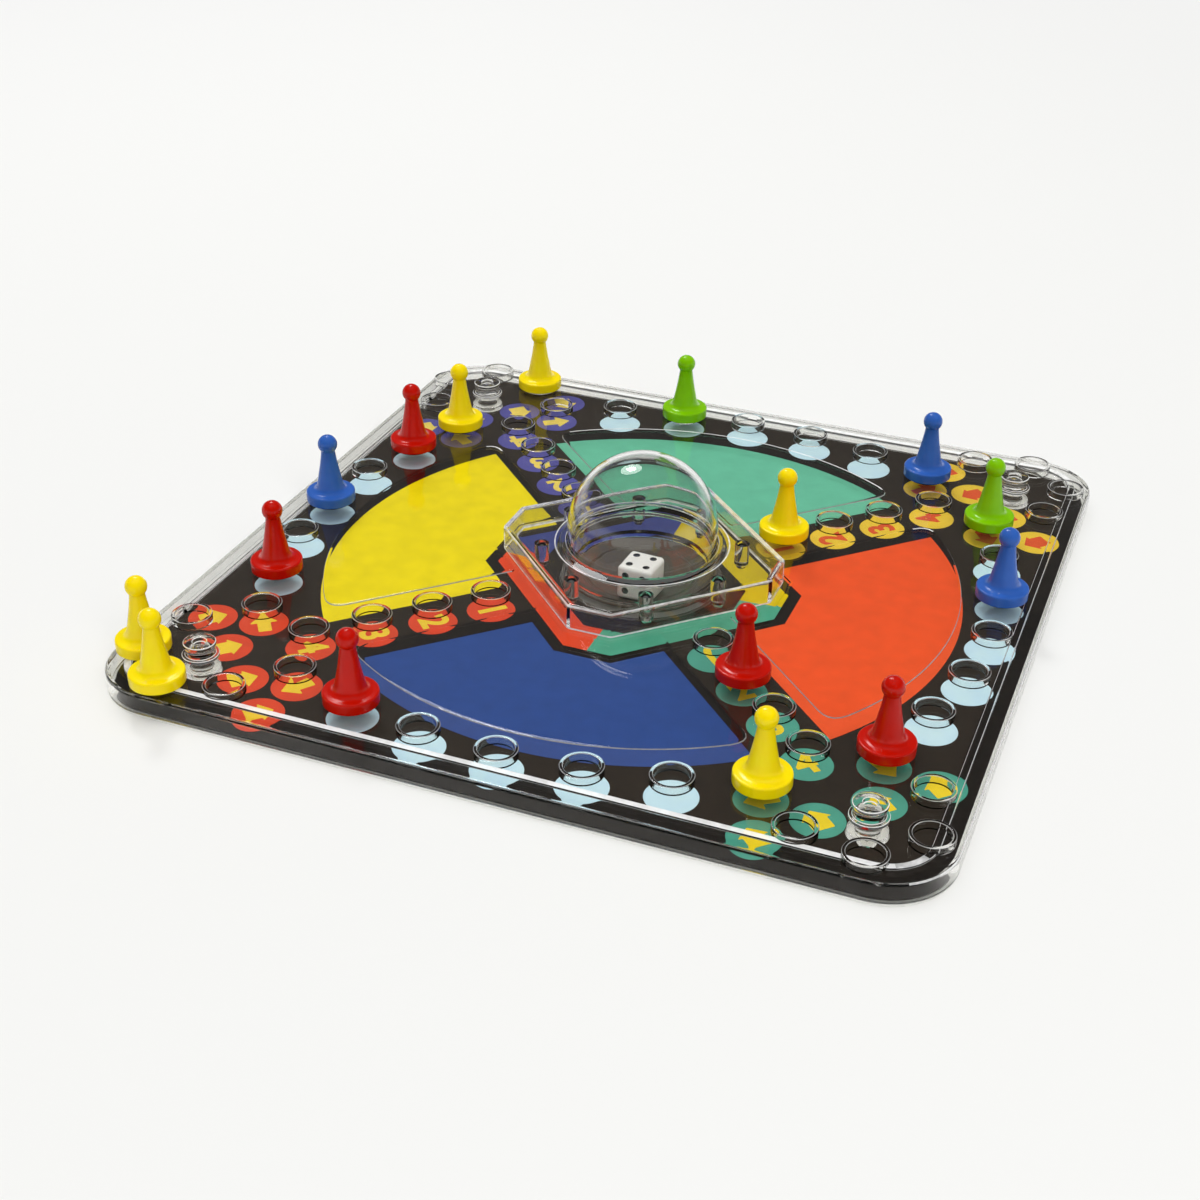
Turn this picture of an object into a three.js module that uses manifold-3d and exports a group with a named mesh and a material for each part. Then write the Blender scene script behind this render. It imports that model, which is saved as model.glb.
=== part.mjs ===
// A pop-up board game: a clear tray over a printed card, with a press-down die bubble in the
// middle, collars that mark the spaces, and sixteen pegs standing on some of them.
// Millimetres, +Z up. The origin is the middle of the underside, on the table.
// The near side of the board faces -Y.

import * as THREE from "three";
import { mergeVertices } from "three/addons/utils/BufferGeometryUtils.js";
import Module from "manifold-3d";

const wasm = await Module();
wasm.setup();

// Fits
const restGap = 0.2; // between pieces that rest on one another
const fitGap = 0.3; // beside pieces that fit into one another
const runGap = 0.5; // beside the bubble, which slides
const overrunLength = 1; // how far a cut runs past the face it opens

// Board: a thin base, a printed card on it and a clear shell over both
const boardSide = 260;
const boardCornerRadius = 21;
const baseThickness = 1;
const cardThickness = 0.5;
const baseInsetWidth = 0.4; // from the shell's edge in to the base's edge
const cardMarginWidth = 2.5; // from the board's edge in to the card's edge
const playHeight = 7.6; // the top of the clear plate that the pegs stand over
const plateThickness = 1.4;
const skirtWall = 1.6;
const rimHeight = 0.4; // the rim round the plate
const beadHeight = 1; // the bead between the plate and the rim
const beadWidth = 2.2;
const beadInsetWidth = 5.6; // from the board's edge in to the bead

// Collars that mark the spaces
const collarRadius = 6.4;
const collarWall = 1.1;
const collarHeight = 2.7;

// Places of the spaces, as shares of half the board's side. One side of the board holds half of
// these, the other half is their mirror image, and the four sides are the same. The spaces of a
// lane lie between the popper's housing and a corner post, as shares of the way.
const trackShares = [[0, 0.8935], [0.1932, 0.8796], [0.3812, 0.8374], [0.5602, 0.7744]];
const homeShares = [[0.6693, 0.9028], [0.8245, 0.9345]];
const laneShares = [0.138, 0.32, 0.5025, 0.689];
const postShare = 0.7977;

// Raised panels of the plate, one over each printed sector
const panelHeight = 0.4;
const panelReachShare = 0.804; // radius of its outer arc, as a share of half the board
const panelLaneWidth = 12.2; // from the board's diagonal to the panel's straight edge
const nearLaneAngles = [225, 315]; // degrees, the two diagonals beside the near side
const panelMargin = 2; // from the popper's housing to the panel

// Corner posts, which hold the shell down on the base
const postShankRadius = 3.4;
const postFlangeRadius = 5.7;
const postFlangeThickness = 1.1;
const postBarrelRadius = 4.6;
const postCapRadius = 5;
const postCapThickness = 1.2;
const postCapRoundRadius = 0.4;
const postHeight = 5.4; // from the plate to the top of the post
const postDimpleRadius = 2.1;
const postDimpleDepth = 1.5;
const socketWall = 2;
const socketHeight = 2.4;

// Popper: the bubble, the plate under the die and the bowed spring under that
const pressTravel = 2;
const springThickness = 0.3;
const springWidth = 12;
const springSlackHeight = 0.2; // what is left of the spring's bow when the bubble is pressed
const diePlateThickness = 1;
const diePlateMargin = 0.3; // how far the plate reaches past the bubble's wall
const dieGrooveRadius = 17;
const dieGrooveWidth = 1;
const dieGrooveDepth = 0.3;
const domeRadius = 24.6;
const domeWall = 1.3;
const domeShoulderHeight = 17.8; // from the die plate up to the centre of the round top
const domeFlangeWidth = 2.4;
const domeFlangeThickness = 1.2;
const cradleWall = 1.4;
const cradleHeight = 1.2;
const dieSide = 11.8;
const dieRoundShare = 0.81; // radius of the ball that rounds the die, as a share of its side
const diePlaceShares = [0.294, -0.842]; // where the die lies, as shares of the way it can roll
const dieTurn = -3; // degrees

// Housing round the bubble: eight sides, the four long ones facing the board's corners
const housingMargin = 13.1; // from the opening to a long side
const housingTipWidth = 14.6; // length of a short side
const housingHeight = 8.8;
const housingWall = 1.5;
const housingTop = 1.4;
const housingChamfer = 1;
const ringLandWidth = 3.4; // the raised ring round the opening
const ringLandHeight = 0.8;
const ringLandCrownWidth = 1.3; // its flat top
const bossCount = 8;
const bossRadius = 2.4;
const bossMargin = 3.6; // from the bubble's flange to the bosses
const pinRadius = 1.5; // the pins under the bosses, which hold the housing in the shell
const pinTipLength = 0.6; // from the plate's underside to the end of a pin

// Pegs
const pegSkirtWall = 1.75; // beside the pocket that cups a collar
const pegBaseHeight = 3.7;
const pegBaseRoundRadius = 0.8;
const pegFootRadius = 5.3; // where the stem leaves the base
const pegFootHeight = 0.5;
const pegStemRadius = 4.5;
const pegStemHeight = 1.8; // from the base's top to where the stem turns straight
const pegNeckRadius = 2.45;
const pegNeckHeight = 18.2;
const pegHeadRadius = 3.35;
const pegHeight = 24.5;

// Smoothness of the round shapes
const cornerSteps = 5;
const holeSides = 24;
const collarSides = 8;
const domeSides = 28;
const domeSteps = 5;
const pegSides = 12;
const pegHeadSteps = 4;
const postSides = 14;
const pinSides = 8;
const springSteps = 14;
const panelSteps = 12;
const dieBallSides = 24;

// Levels and places that follow from the sizes
const half = boardSide / 2;
const cardBottom = baseThickness + restGap;
const cardTop = cardBottom + cardThickness;
const plateBottom = playHeight - plateThickness;
const plateMiddle = playHeight - plateThickness / 2;
const rimTop = playHeight + rimHeight;
const collarTop = playHeight + collarHeight;
const skirtBottom = baseThickness + restGap;
const springSeat = baseThickness + restGap;
const springCrown = springSeat + springThickness + springSlackHeight + pressTravel;
const diePlateBottom = springCrown + restGap;
const diePlateTop = diePlateBottom + diePlateThickness;
const diePlateRadius = domeRadius + diePlateMargin;
const cradleRadius = diePlateRadius + runGap;
const domeBottom = diePlateTop + restGap;
const domeCentre = diePlateTop + domeShoulderHeight;
const openingRadius = domeRadius + runGap;
const housingBottom = playHeight + restGap;
const housingCeiling = housingBottom + housingHeight - housingTop;
const housingCrown = housingBottom + housingHeight;
const housingSideReach = openingRadius + housingMargin;
const housingEndReach = housingSideReach * Math.SQRT2 - housingTipWidth / 2;
const domeFlangeRadius = domeRadius + domeFlangeWidth;
const domeFlangeTop = housingCeiling - restGap;
const domeFlangeBottom = domeFlangeTop - domeFlangeThickness;
const bossOrbit = domeFlangeRadius + bossMargin + bossRadius;
const socketInnerRadius = postShankRadius + fitGap;
const socketRadius = socketInnerRadius + socketWall;
const socketTop = baseThickness + socketHeight;
const pocketRadius = collarRadius + fitGap;
const pocketDepth = collarHeight - beadHeight;
const pegBaseRadius = pocketRadius + pegSkirtWall;
const pegBottom = playHeight + beadHeight + restGap;

// A closed mesh without normals, with shared vertices and no collapsed triangles
function closed(geometry) {
  const plain = geometry.clone();
  plain.deleteAttribute("normal");
  plain.deleteAttribute("uv");
  const merged = mergeVertices(plain, 1e-4);
  const from = merged.index.array;
  const kept = [];
  for (let i = 0; i < from.length; i += 3) {
    const [a, b, c] = [from[i], from[i + 1], from[i + 2]];
    if (a !== b && b !== c && c !== a) kept.push(a, b, c);
  }
  merged.setIndex(kept);
  return merged;
}

function solid(geometry) {
  const mesh = closed(geometry);
  return new wasm.Manifold(new wasm.Mesh({
    numProp: 3,
    vertProperties: new Float32Array(mesh.attributes.position.array),
    triVerts: new Uint32Array(mesh.index.array),
  }));
}

function geometryOf(manifold) {
  const mesh = manifold.getMesh();
  const geometry = new THREE.BufferGeometry();
  geometry.setAttribute("position", new THREE.BufferAttribute(mesh.vertProperties, 3));
  geometry.setIndex(new THREE.BufferAttribute(mesh.triVerts, 1));
  geometry.computeVertexNormals();
  return geometry;
}

// Joins a list of solids two by two, so that no join grows long
function joined(solids) {
  let rest = solids;
  while (rest.length > 1) {
    const next = [];
    for (let i = 0; i < rest.length; i += 2) {
      next.push(i + 1 < rest.length ? rest[i].add(rest[i + 1]) : rest[i]);
    }
    rest = next;
  }
  return rest[0];
}

function arcPoints(x, y, radius, start, end, steps) {
  const points = [];
  for (let i = 0; i <= steps; i++) {
    const angle = THREE.MathUtils.degToRad(start + ((end - start) * i) / steps);
    points.push(new THREE.Vector2(x + radius * Math.cos(angle), y + radius * Math.sin(angle)));
  }
  return points;
}

function roundedSquare(reach, radius) {
  const c = reach - radius;
  return [
    ...arcPoints(c, -c, radius, -90, 0, cornerSteps),
    ...arcPoints(c, c, radius, 0, 90, cornerSteps),
    ...arcPoints(-c, c, radius, 90, 180, cornerSteps),
    ...arcPoints(-c, -c, radius, 180, 270, cornerSteps),
  ];
}

// The board's outline moved in by an inset, with the corner centres kept
function boardOutline(inset) {
  return roundedSquare(half - inset, boardCornerRadius - inset);
}

function circle(x, y, radius, sides) {
  return arcPoints(x, y, radius, 0, 360, sides).slice(0, sides);
}

// Four long sides that face the board's corners and four short ones that face its edges
function octagon(sideReach, endReach) {
  const far = sideReach * Math.SQRT2 - endReach;
  const points = [];
  for (let quarter = 0; quarter < 4; quarter++) {
    points.push(turned([-far, -endReach], quarter), turned([far, -endReach], quarter));
  }
  return points.map(([x, y]) => new THREE.Vector2(x, y));
}

function turned([x, y], quarter) {
  const spin = [[x, y], [-y, x], [-x, -y], [y, -x]];
  return spin[quarter % 4];
}

function slab(outline, bottom, top, holes = []) {
  const shape = new THREE.Shape(outline);
  for (const hole of holes) shape.holes.push(new THREE.Path(hole));
  const geometry = new THREE.ExtrudeGeometry(shape, { depth: top - bottom, bevelEnabled: false });
  return geometry.translate(0, 0, bottom);
}

// A turned solid: the profile is [radius, height] pairs that run anticlockwise, seen with the
// axis on the left
function turnedSolid(profile, sides, x = 0, y = 0) {
  const points = profile.map(([radius, height]) => new THREE.Vector2(radius, height));
  const geometry = new THREE.LatheGeometry(points, sides);
  return geometry.rotateX(Math.PI / 2).translate(x, y, 0);
}

function tube(outer, inner, bottom, top, sides, x = 0, y = 0) {
  const profile = [[inner, bottom], [outer, bottom], [outer, top], [inner, top], [inner, bottom]];
  return turnedSolid(profile, sides, x, y);
}

function rod(radius, bottom, top, sides, x = 0, y = 0) {
  return turnedSolid([[0, bottom], [radius, bottom], [radius, top], [0, top]], sides, x, y);
}

// Places on the board. The quarter counts sides from the near one, anticlockwise from above, and
// the hand is 1 or -1 for the two halves of a side.
function trackPlace(step, quarter, hand) {
  const [across, out] = trackShares[step];
  return turned([hand * across * half, -out * half], quarter);
}

function homePlace(step, quarter, hand) {
  const [across, out] = homeShares[step];
  return turned([hand * across * half, -out * half], quarter);
}

function lanePlace(step, quarter) {
  const start = housingSideReach / Math.SQRT2;
  const across = start + laneShares[step] * (postShare * half - start);
  return turned([across, -across], quarter);
}

function postPlace(quarter) {
  return turned([postShare * half, -postShare * half], quarter);
}

function bossPlaces() {
  const places = [];
  for (let i = 0; i < bossCount; i++) {
    const angle = ((i + 1 / 2) * 2 * Math.PI) / bossCount;
    places.push([bossOrbit * Math.cos(angle), bossOrbit * Math.sin(angle)]);
  }
  return places;
}

function allPlaces() {
  const places = [];
  for (let quarter = 0; quarter < 4; quarter++) {
    for (const hand of [1, -1]) {
      for (let step = hand > 0 ? 0 : 1; step < trackShares.length; step++) {
        places.push(trackPlace(step, quarter, hand));
      }
      for (let step = 0; step < homeShares.length; step++) {
        places.push(homePlace(step, quarter, hand));
      }
    }
    for (let step = 0; step < laneShares.length; step++) places.push(lanePlace(step, quarter));
  }
  return places;
}

// Materials
const clear = { color: 0xe9eef0, roughness: 0.08, metalness: 0, transparent: true, opacity: 0.3 };
const cardInk = { color: 0x1d1814, roughness: 0.55, metalness: 0 };
const darkPlate = { color: 0x3d352b, roughness: 0.4, metalness: 0 };
const whitePlastic = { color: 0xf7f6f2, roughness: 0.25, metalness: 0 };
const springSteel = { color: 0xa9adb0, roughness: 0.35, metalness: 1 };
const pegColours = { yellow: 0xf5d800, red: 0xd3180e, blue: 0x24479c, green: 0x6aab04 };

const game = new THREE.Group();

function place(name, geometry, finish) {
  const mesh = new THREE.Mesh(geometry, new THREE.MeshStandardMaterial(finish));
  mesh.name = name;
  game.add(mesh);
  return mesh;
}

// Base: a thin sheet with a socket for each post
function basePlate() {
  const parts = [solid(slab(boardOutline(baseInsetWidth), 0, baseThickness))];
  for (let quarter = 0; quarter < 4; quarter++) {
    const [x, y] = postPlace(quarter);
    const foot = baseThickness / 2;
    parts.push(solid(tube(socketRadius, socketInnerRadius, foot, socketTop, postSides, x, y)));
  }
  return geometryOf(joined(parts));
}

// Card: a flat sheet with holes for the popper's cradle and for the post sockets
function printedCard() {
  const holes = [circle(0, 0, cradleRadius + cradleWall + fitGap, holeSides)];
  for (let quarter = 0; quarter < 4; quarter++) {
    const [x, y] = postPlace(quarter);
    holes.push(circle(x, y, socketRadius + fitGap, postSides));
  }
  return slab(boardOutline(cardMarginWidth), cardBottom, cardTop, holes);
}

// The outline of a raised panel on the near side, between two lanes and outside the housing
function panelOutline() {
  const sideReach = housingSideReach + panelMargin;
  const endReach = housingEndReach + panelMargin;
  const far = sideReach * Math.SQRT2 - endReach;
  const reach = panelReachShare * half;
  const lean = THREE.MathUtils.radToDeg(Math.asin(panelLaneWidth / reach));
  const inner = [(sideReach - panelLaneWidth) / Math.SQRT2, -(sideReach + panelLaneWidth) / Math.SQRT2];
  return [
    ...arcPoints(0, 0, reach, nearLaneAngles[0] + lean, nearLaneAngles[1] - lean, panelSteps),
    new THREE.Vector2(inner[0], inner[1]),
    new THREE.Vector2(far, -endReach),
    new THREE.Vector2(-far, -endReach),
    new THREE.Vector2(-inner[0], inner[1]),
  ];
}

// Shell: the clear plate with its skirt, rim, bead, panels and collars
function boardShell() {
  const beadIn = beadInsetWidth + beadWidth;
  const body = solid(slab(boardOutline(0), skirtBottom, rimTop));
  const hollow = solid(slab(boardOutline(skirtWall), skirtBottom - overrunLength, plateBottom));
  const field = solid(slab(boardOutline(beadIn), playHeight, rimTop + overrunLength));
  const bead = slab(
    boardOutline(beadInsetWidth), plateMiddle, playHeight + beadHeight, [boardOutline(beadIn)],
  );
  const raised = [solid(bead)];
  for (let quarter = 0; quarter < 4; quarter++) {
    const panel = slab(panelOutline(), plateMiddle, playHeight + panelHeight);
    raised.push(solid(panel.rotateZ((quarter * Math.PI) / 2)));
  }
  for (const [x, y] of allPlaces()) {
    const inner = collarRadius - collarWall;
    raised.push(solid(tube(collarRadius, inner, plateMiddle, collarTop, collarSides, x, y)));
  }
  const through = [plateBottom - overrunLength, rimTop + overrunLength];
  const cuts = [solid(rod(openingRadius, ...through, domeSides))];
  for (let quarter = 0; quarter < 4; quarter++) {
    cuts.push(solid(rod(postShankRadius + fitGap, ...through, postSides, ...postPlace(quarter))));
  }
  for (const place of bossPlaces()) {
    cuts.push(solid(rod(pinRadius + fitGap, ...through, pinSides, ...place)));
  }
  const shell = body.subtract(joined([hollow, field]));
  return geometryOf(shell.add(joined(raised)).subtract(joined(cuts)));
}

// Post: a turned pillar with a flange on the plate and a shank down into the base's socket
function cornerPost() {
  const flangeBottom = playHeight + restGap;
  const flangeTop = flangeBottom + postFlangeThickness;
  const top = playHeight + postHeight;
  const capBottom = top - postCapThickness;
  const dimple = top - postDimpleDepth;
  return turnedSolid([
    [0, baseThickness + restGap],
    [postShankRadius, baseThickness + restGap],
    [postShankRadius, flangeBottom],
    [postFlangeRadius, flangeBottom],
    [postFlangeRadius, flangeTop],
    [postBarrelRadius, flangeTop],
    [postBarrelRadius, capBottom],
    [postCapRadius, capBottom],
    [postCapRadius, top - postCapRoundRadius],
    [postCapRadius - postCapRoundRadius, top],
    [postDimpleRadius, top],
    [postDimpleRadius, dimple],
    [0, dimple],
  ], postSides);
}

// Housing: a hollow eight-sided cover with a raised ring round the bubble's opening
function popperHousing() {
  const low = slab(
    octagon(housingSideReach, housingEndReach), housingBottom, housingCrown - housingChamfer,
  );
  const brow = chamferedSlab(
    octagon(housingSideReach, housingEndReach),
    octagon(housingSideReach - housingChamfer, housingEndReach - housingChamfer),
    housingCrown - housingChamfer, housingCrown,
  );
  const hollow = slab(
    octagon(housingSideReach - housingWall, housingEndReach - housingWall),
    housingBottom - overrunLength, housingCeiling,
  );
  const landRadius = openingRadius + ringLandWidth;
  const landTop = housingCrown + ringLandHeight;
  const land = turnedSolid([
    [openingRadius, housingCeiling],
    [landRadius, housingCeiling],
    [landRadius, housingCrown],
    [openingRadius + ringLandCrownWidth, landTop],
    [openingRadius, landTop],
    [openingRadius, housingCeiling],
  ], domeSides);
  const opening = rod(openingRadius, housingBottom - overrunLength, landTop + overrunLength, domeSides);
  const box = solid(low).add(solid(brow)).subtract(solid(hollow)).subtract(solid(opening));
  const parts = [box, solid(land)];
  for (const place of bossPlaces()) {
    const bossTop = housingCeiling + housingTop / 2;
    parts.push(solid(rod(bossRadius, housingBottom, bossTop, pinSides, ...place)));
    parts.push(solid(rod(pinRadius, plateBottom - pinTipLength, bossTop, pinSides, ...place)));
  }
  return geometryOf(joined(parts));
}

// A slab whose top outline is smaller than its bottom one, point for point
function chamferedSlab(lower, upper, bottom, top) {
  const count = lower.length;
  const positions = [];
  for (const point of lower) positions.push(point.x, point.y, bottom);
  for (const point of upper) positions.push(point.x, point.y, top);
  const index = [];
  for (let i = 0; i < count; i++) {
    const next = (i + 1) % count;
    index.push(i, next, count + next, i, count + next, count + i);
  }
  for (let i = 1; i < count - 1; i++) {
    index.push(0, i + 1, i, count, count + i, count + i + 1);
  }
  const geometry = new THREE.BufferGeometry();
  geometry.setAttribute("position", new THREE.Float32BufferAttribute(positions, 3));
  geometry.setIndex(index);
  return geometry;
}

// Bubble: a straight skirt down to the die plate, a flange under the housing and a round top
function dome() {
  const inner = domeRadius - domeWall;
  const profile = [
    [inner, domeBottom],
    [domeRadius, domeBottom],
    [domeRadius, domeFlangeBottom],
    [domeFlangeRadius, domeFlangeBottom],
    [domeFlangeRadius, domeFlangeTop],
    [domeRadius, domeFlangeTop],
  ];
  for (const point of arcPoints(0, domeCentre, domeRadius, 0, 90, domeSteps)) {
    profile.push([Math.max(0, point.x), point.y]);
  }
  for (const point of arcPoints(0, domeCentre, inner, 90, 0, domeSteps)) {
    profile.push([Math.max(0, point.x), point.y]);
  }
  profile.push([inner, domeBottom]);
  return turnedSolid(profile, domeSides);
}

// Die plate: a flat disc with a shallow ring groove round its middle
function diePlate() {
  const grooveOut = dieGrooveRadius + dieGrooveWidth;
  const grooveFloor = diePlateTop - dieGrooveDepth;
  return turnedSolid([
    [0, diePlateBottom],
    [diePlateRadius, diePlateBottom],
    [diePlateRadius, diePlateTop],
    [grooveOut, diePlateTop],
    [grooveOut, grooveFloor],
    [dieGrooveRadius, grooveFloor],
    [dieGrooveRadius, diePlateTop],
    [0, diePlateTop],
  ], domeSides);
}

// Spring: a bowed strip of spring steel, standing on its two ends under the die plate
function snapSpring() {
  const reach = Math.sqrt((cradleRadius - fitGap) ** 2 - (springWidth / 2) ** 2);
  const bow = springCrown - springSeat - springThickness;
  const lower = [];
  const upper = [];
  for (let i = 0; i <= springSteps; i++) {
    const x = reach * ((2 * i) / springSteps - 1);
    const height = springSeat + bow * (1 - (x / reach) ** 2);
    lower.push(new THREE.Vector2(x, height));
    upper.push(new THREE.Vector2(x, height + springThickness));
  }
  const shape = new THREE.Shape([...lower, ...upper.reverse()]);
  const strip = new THREE.ExtrudeGeometry(shape, { depth: springWidth, bevelEnabled: false });
  return strip.translate(0, 0, -springWidth / 2).rotateX(Math.PI / 2);
}

// Cradle: a low ring on the base that keeps the spring under the die plate
function springCradle() {
  const outer = cradleRadius + cradleWall;
  return tube(outer, cradleRadius, springSeat, springSeat + cradleHeight, domeSides);
}

// Die: a cube with its corners rounded by a ball
function die() {
  const cube = new THREE.BoxGeometry(dieSide, dieSide, dieSide);
  const ball = new THREE.SphereGeometry(dieSide * dieRoundShare, dieBallSides, dieBallSides / 2);
  return geometryOf(solid(cube).intersect(solid(ball.rotateX(Math.PI / 2))));
}

// Peg: a round base that cups the collar, a tapered stem and a ball head
function peg() {
  const headCentre = pegHeight - pegHeadRadius;
  const neck = THREE.MathUtils.radToDeg(Math.asin(-pegNeckRadius / pegHeadRadius));
  const profile = [
    [0, pocketDepth],
    [pocketRadius, pocketDepth],
    [pocketRadius, 0],
    [pegBaseRadius, 0],
    [pegBaseRadius, pegBaseHeight - pegBaseRoundRadius],
    [pegBaseRadius - pegBaseRoundRadius, pegBaseHeight],
    [pegFootRadius, pegBaseHeight + pegFootHeight],
    [pegStemRadius, pegBaseHeight + pegStemHeight],
    [pegNeckRadius, pegNeckHeight],
  ];
  for (const point of arcPoints(0, headCentre, pegHeadRadius, neck, 90, pegHeadSteps)) {
    profile.push([Math.max(0, point.x), point.y]);
  }
  return turnedSolid(profile, pegSides);
}

place("base_plate", basePlate(), clear);
place("printed_card", printedCard(), cardInk);
place("board_shell", boardShell(), clear);
place("popper_housing", popperHousing(), clear);
place("spring_cradle", springCradle(), darkPlate);
place("snap_spring", snapSpring(), springSteel);
place("die_plate", diePlate(), darkPlate);
place("dome", dome(), clear);

const dieMesh = place("die", die(), whitePlastic);
const dieRoom = domeRadius - domeWall - dieSide / Math.SQRT2;
const [dieX, dieY] = diePlaceShares.map((share) => share * dieRoom);
dieMesh.position.set(dieX, dieY, diePlateTop + restGap + dieSide / 2);
dieMesh.rotation.z = THREE.MathUtils.degToRad(dieTurn);

for (let quarter = 0; quarter < 4; quarter++) {
  const [postX, postY] = postPlace(quarter);
  place(`corner_post_${quarter + 1}`, cornerPost(), clear).position.set(postX, postY, 0);
}

// Where the pegs stand
const pegPlaces = {
  yellow: [
    homePlace(0, 2, 1), trackPlace(3, 3, -1), homePlace(1, 3, 1), homePlace(1, 0, -1),
    lanePlace(0, 1), trackPlace(3, 0, 1),
  ],
  red: [
    trackPlace(2, 3, -1), trackPlace(2, 3, 1), trackPlace(2, 0, -1), trackPlace(3, 1, -1),
    lanePlace(1, 0),
  ],
  blue: [trackPlace(0, 3, 1), trackPlace(3, 2, -1), trackPlace(1, 1, 1)],
  green: [trackPlace(1, 2, 1), trackPlace(3, 1, 1)],
};
for (const [colour, places] of Object.entries(pegPlaces)) {
  places.forEach(([x, y], index) => {
    const finish = { color: pegColours[colour], roughness: 0.28, metalness: 0 };
    place(`${colour}_peg_${index + 1}`, peg(), finish).position.set(x, y, pegBottom);
  });
}

export default game;
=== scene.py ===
"""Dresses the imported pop-up board game: clear shell, printed card, popper, posts, pegs and die."""

import logging
import math
from collections.abc import Iterable, Sequence
from dataclasses import dataclass
from enum import Enum

import bmesh
import bpy
from mathutils import Matrix, Vector
from mathutils.geometry import tessellate_polygon


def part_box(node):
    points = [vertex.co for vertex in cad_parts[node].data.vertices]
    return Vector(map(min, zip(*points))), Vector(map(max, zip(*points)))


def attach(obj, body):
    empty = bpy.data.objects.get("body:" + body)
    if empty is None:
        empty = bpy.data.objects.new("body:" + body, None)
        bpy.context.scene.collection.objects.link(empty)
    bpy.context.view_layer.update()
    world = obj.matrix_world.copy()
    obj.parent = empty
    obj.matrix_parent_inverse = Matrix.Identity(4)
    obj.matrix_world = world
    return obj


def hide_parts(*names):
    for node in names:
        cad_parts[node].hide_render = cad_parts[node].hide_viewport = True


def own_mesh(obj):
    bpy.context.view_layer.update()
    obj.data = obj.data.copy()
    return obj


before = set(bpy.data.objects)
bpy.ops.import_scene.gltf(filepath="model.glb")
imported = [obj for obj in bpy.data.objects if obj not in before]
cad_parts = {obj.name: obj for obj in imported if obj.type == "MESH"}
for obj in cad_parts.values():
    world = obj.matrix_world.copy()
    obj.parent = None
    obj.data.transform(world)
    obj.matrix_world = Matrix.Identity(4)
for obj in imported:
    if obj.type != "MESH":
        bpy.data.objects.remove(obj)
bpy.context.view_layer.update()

MM = 0.001  # metres in a millimetre
ORIGIN = (0.0, 0.0)
NOISE_LOW, NOISE_HIGH = 0.3, 0.7  # nearly all of a noise texture lies between these
MOTTLE = 0.95  # the printed mottle's brightness, as a share of its ink's
ROUNDING_SHARE = 0.49  # the most that one rounding takes of a side
CREASE = 32.0  # degrees above which an edge stays sharp
BALL_CREASE = 40.0  # the same on the bubble and the pegs

Point = tuple[float, float]
Span = tuple[float, float]
Loop = list[Point]
Place = tuple[float, float, float]
Tree = bpy.types.NodeTree
Socket = bpy.types.NodeSocket
Mesh = bpy.types.Mesh

log = logging.getLogger("pop_up_game")


class Slot(Enum):
    """The record's material slots."""

    CLEAR = "clear_plastic"
    CARD = "printed_board"
    DARK = "dark_plastic"
    STEEL = "spring_steel"
    PLATE = "lacquered_plate"
    WHITE = "white_plastic"
    YELLOW = "yellow_plastic"
    RED = "red_plastic"
    BLUE = "blue_plastic"
    GREEN = "green_plastic"


class Team(Enum):
    """The four sets of pegs, with the colour of each and its deeper shade."""

    YELLOW = ("#FFE900", "#FFE000")
    RED = ("#C81200", "#BE0E00")
    BLUE = ("#3566BE", "#305FB4")
    GREEN = ("#86CA00", "#7EC200")


class Corner(Enum):
    """The board's corners, as turns of the near left one, with the ink of spaces and marks."""

    LEFT = (0, "#E8492A", "#FFD83A")
    NEAR = (1, "#4FA894", "#FFE02A")
    RIGHT = (2, "#FFD63C", "#EE5A2A")
    FAR = (3, "#5555A8", "#FFE46A")


class Lit(Enum):
    """The surfaces that a lamp lights."""

    ALL = "all"
    SHINY = "shiny"
    MATTE = "matte"


class Work(Enum):
    """What one mesh does to another."""

    JOIN = "UNION"
    CUT = "DIFFERENCE"


# Finishes


def channels(colour: str) -> list[int]:
    """Returns red, green and blue of an sRGB hex colour, from 0 to 255."""
    return [int(colour[i : i + 2], 16) for i in (1, 3, 5)]


def linear(colour: str) -> tuple[float, float, float, float]:
    """Turns an sRGB hex colour into the linear values that a socket takes.

    Args:
        colour: the colour as #RRGGBB.

    Returns:
        Red, green, blue and an alpha of 1.
    """
    parts = [c / 255 for c in channels(colour)]
    red, green, blue = (p / 12.92 if p <= 0.04045 else ((p + 0.055) / 1.055) ** 2.4 for p in parts)
    return red, green, blue, 1.0


def add_node(
    tree: Tree,
    kind: str,
    settings: dict[str, object] | None = None,
    inputs: dict[str | int, object] | None = None,
) -> bpy.types.Node:
    """Adds a shader node with its settings and links.

    Args:
        tree: the node tree that it goes into.
        kind: the node's type, without the ShaderNode in front.
        settings: the node's own properties by name.
        inputs: by socket, a value to set on it or an output to link to it.

    Returns:
        The new node.
    """
    node = tree.nodes.new("ShaderNode" + kind)
    for name, value in (settings or {}).items():
        setattr(node, name, value)
    for name, value in (inputs or {}).items():
        if isinstance(value, Socket):
            tree.links.new(value, node.inputs[name])
        else:
            node.inputs[name].default_value = value
    return node


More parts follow.
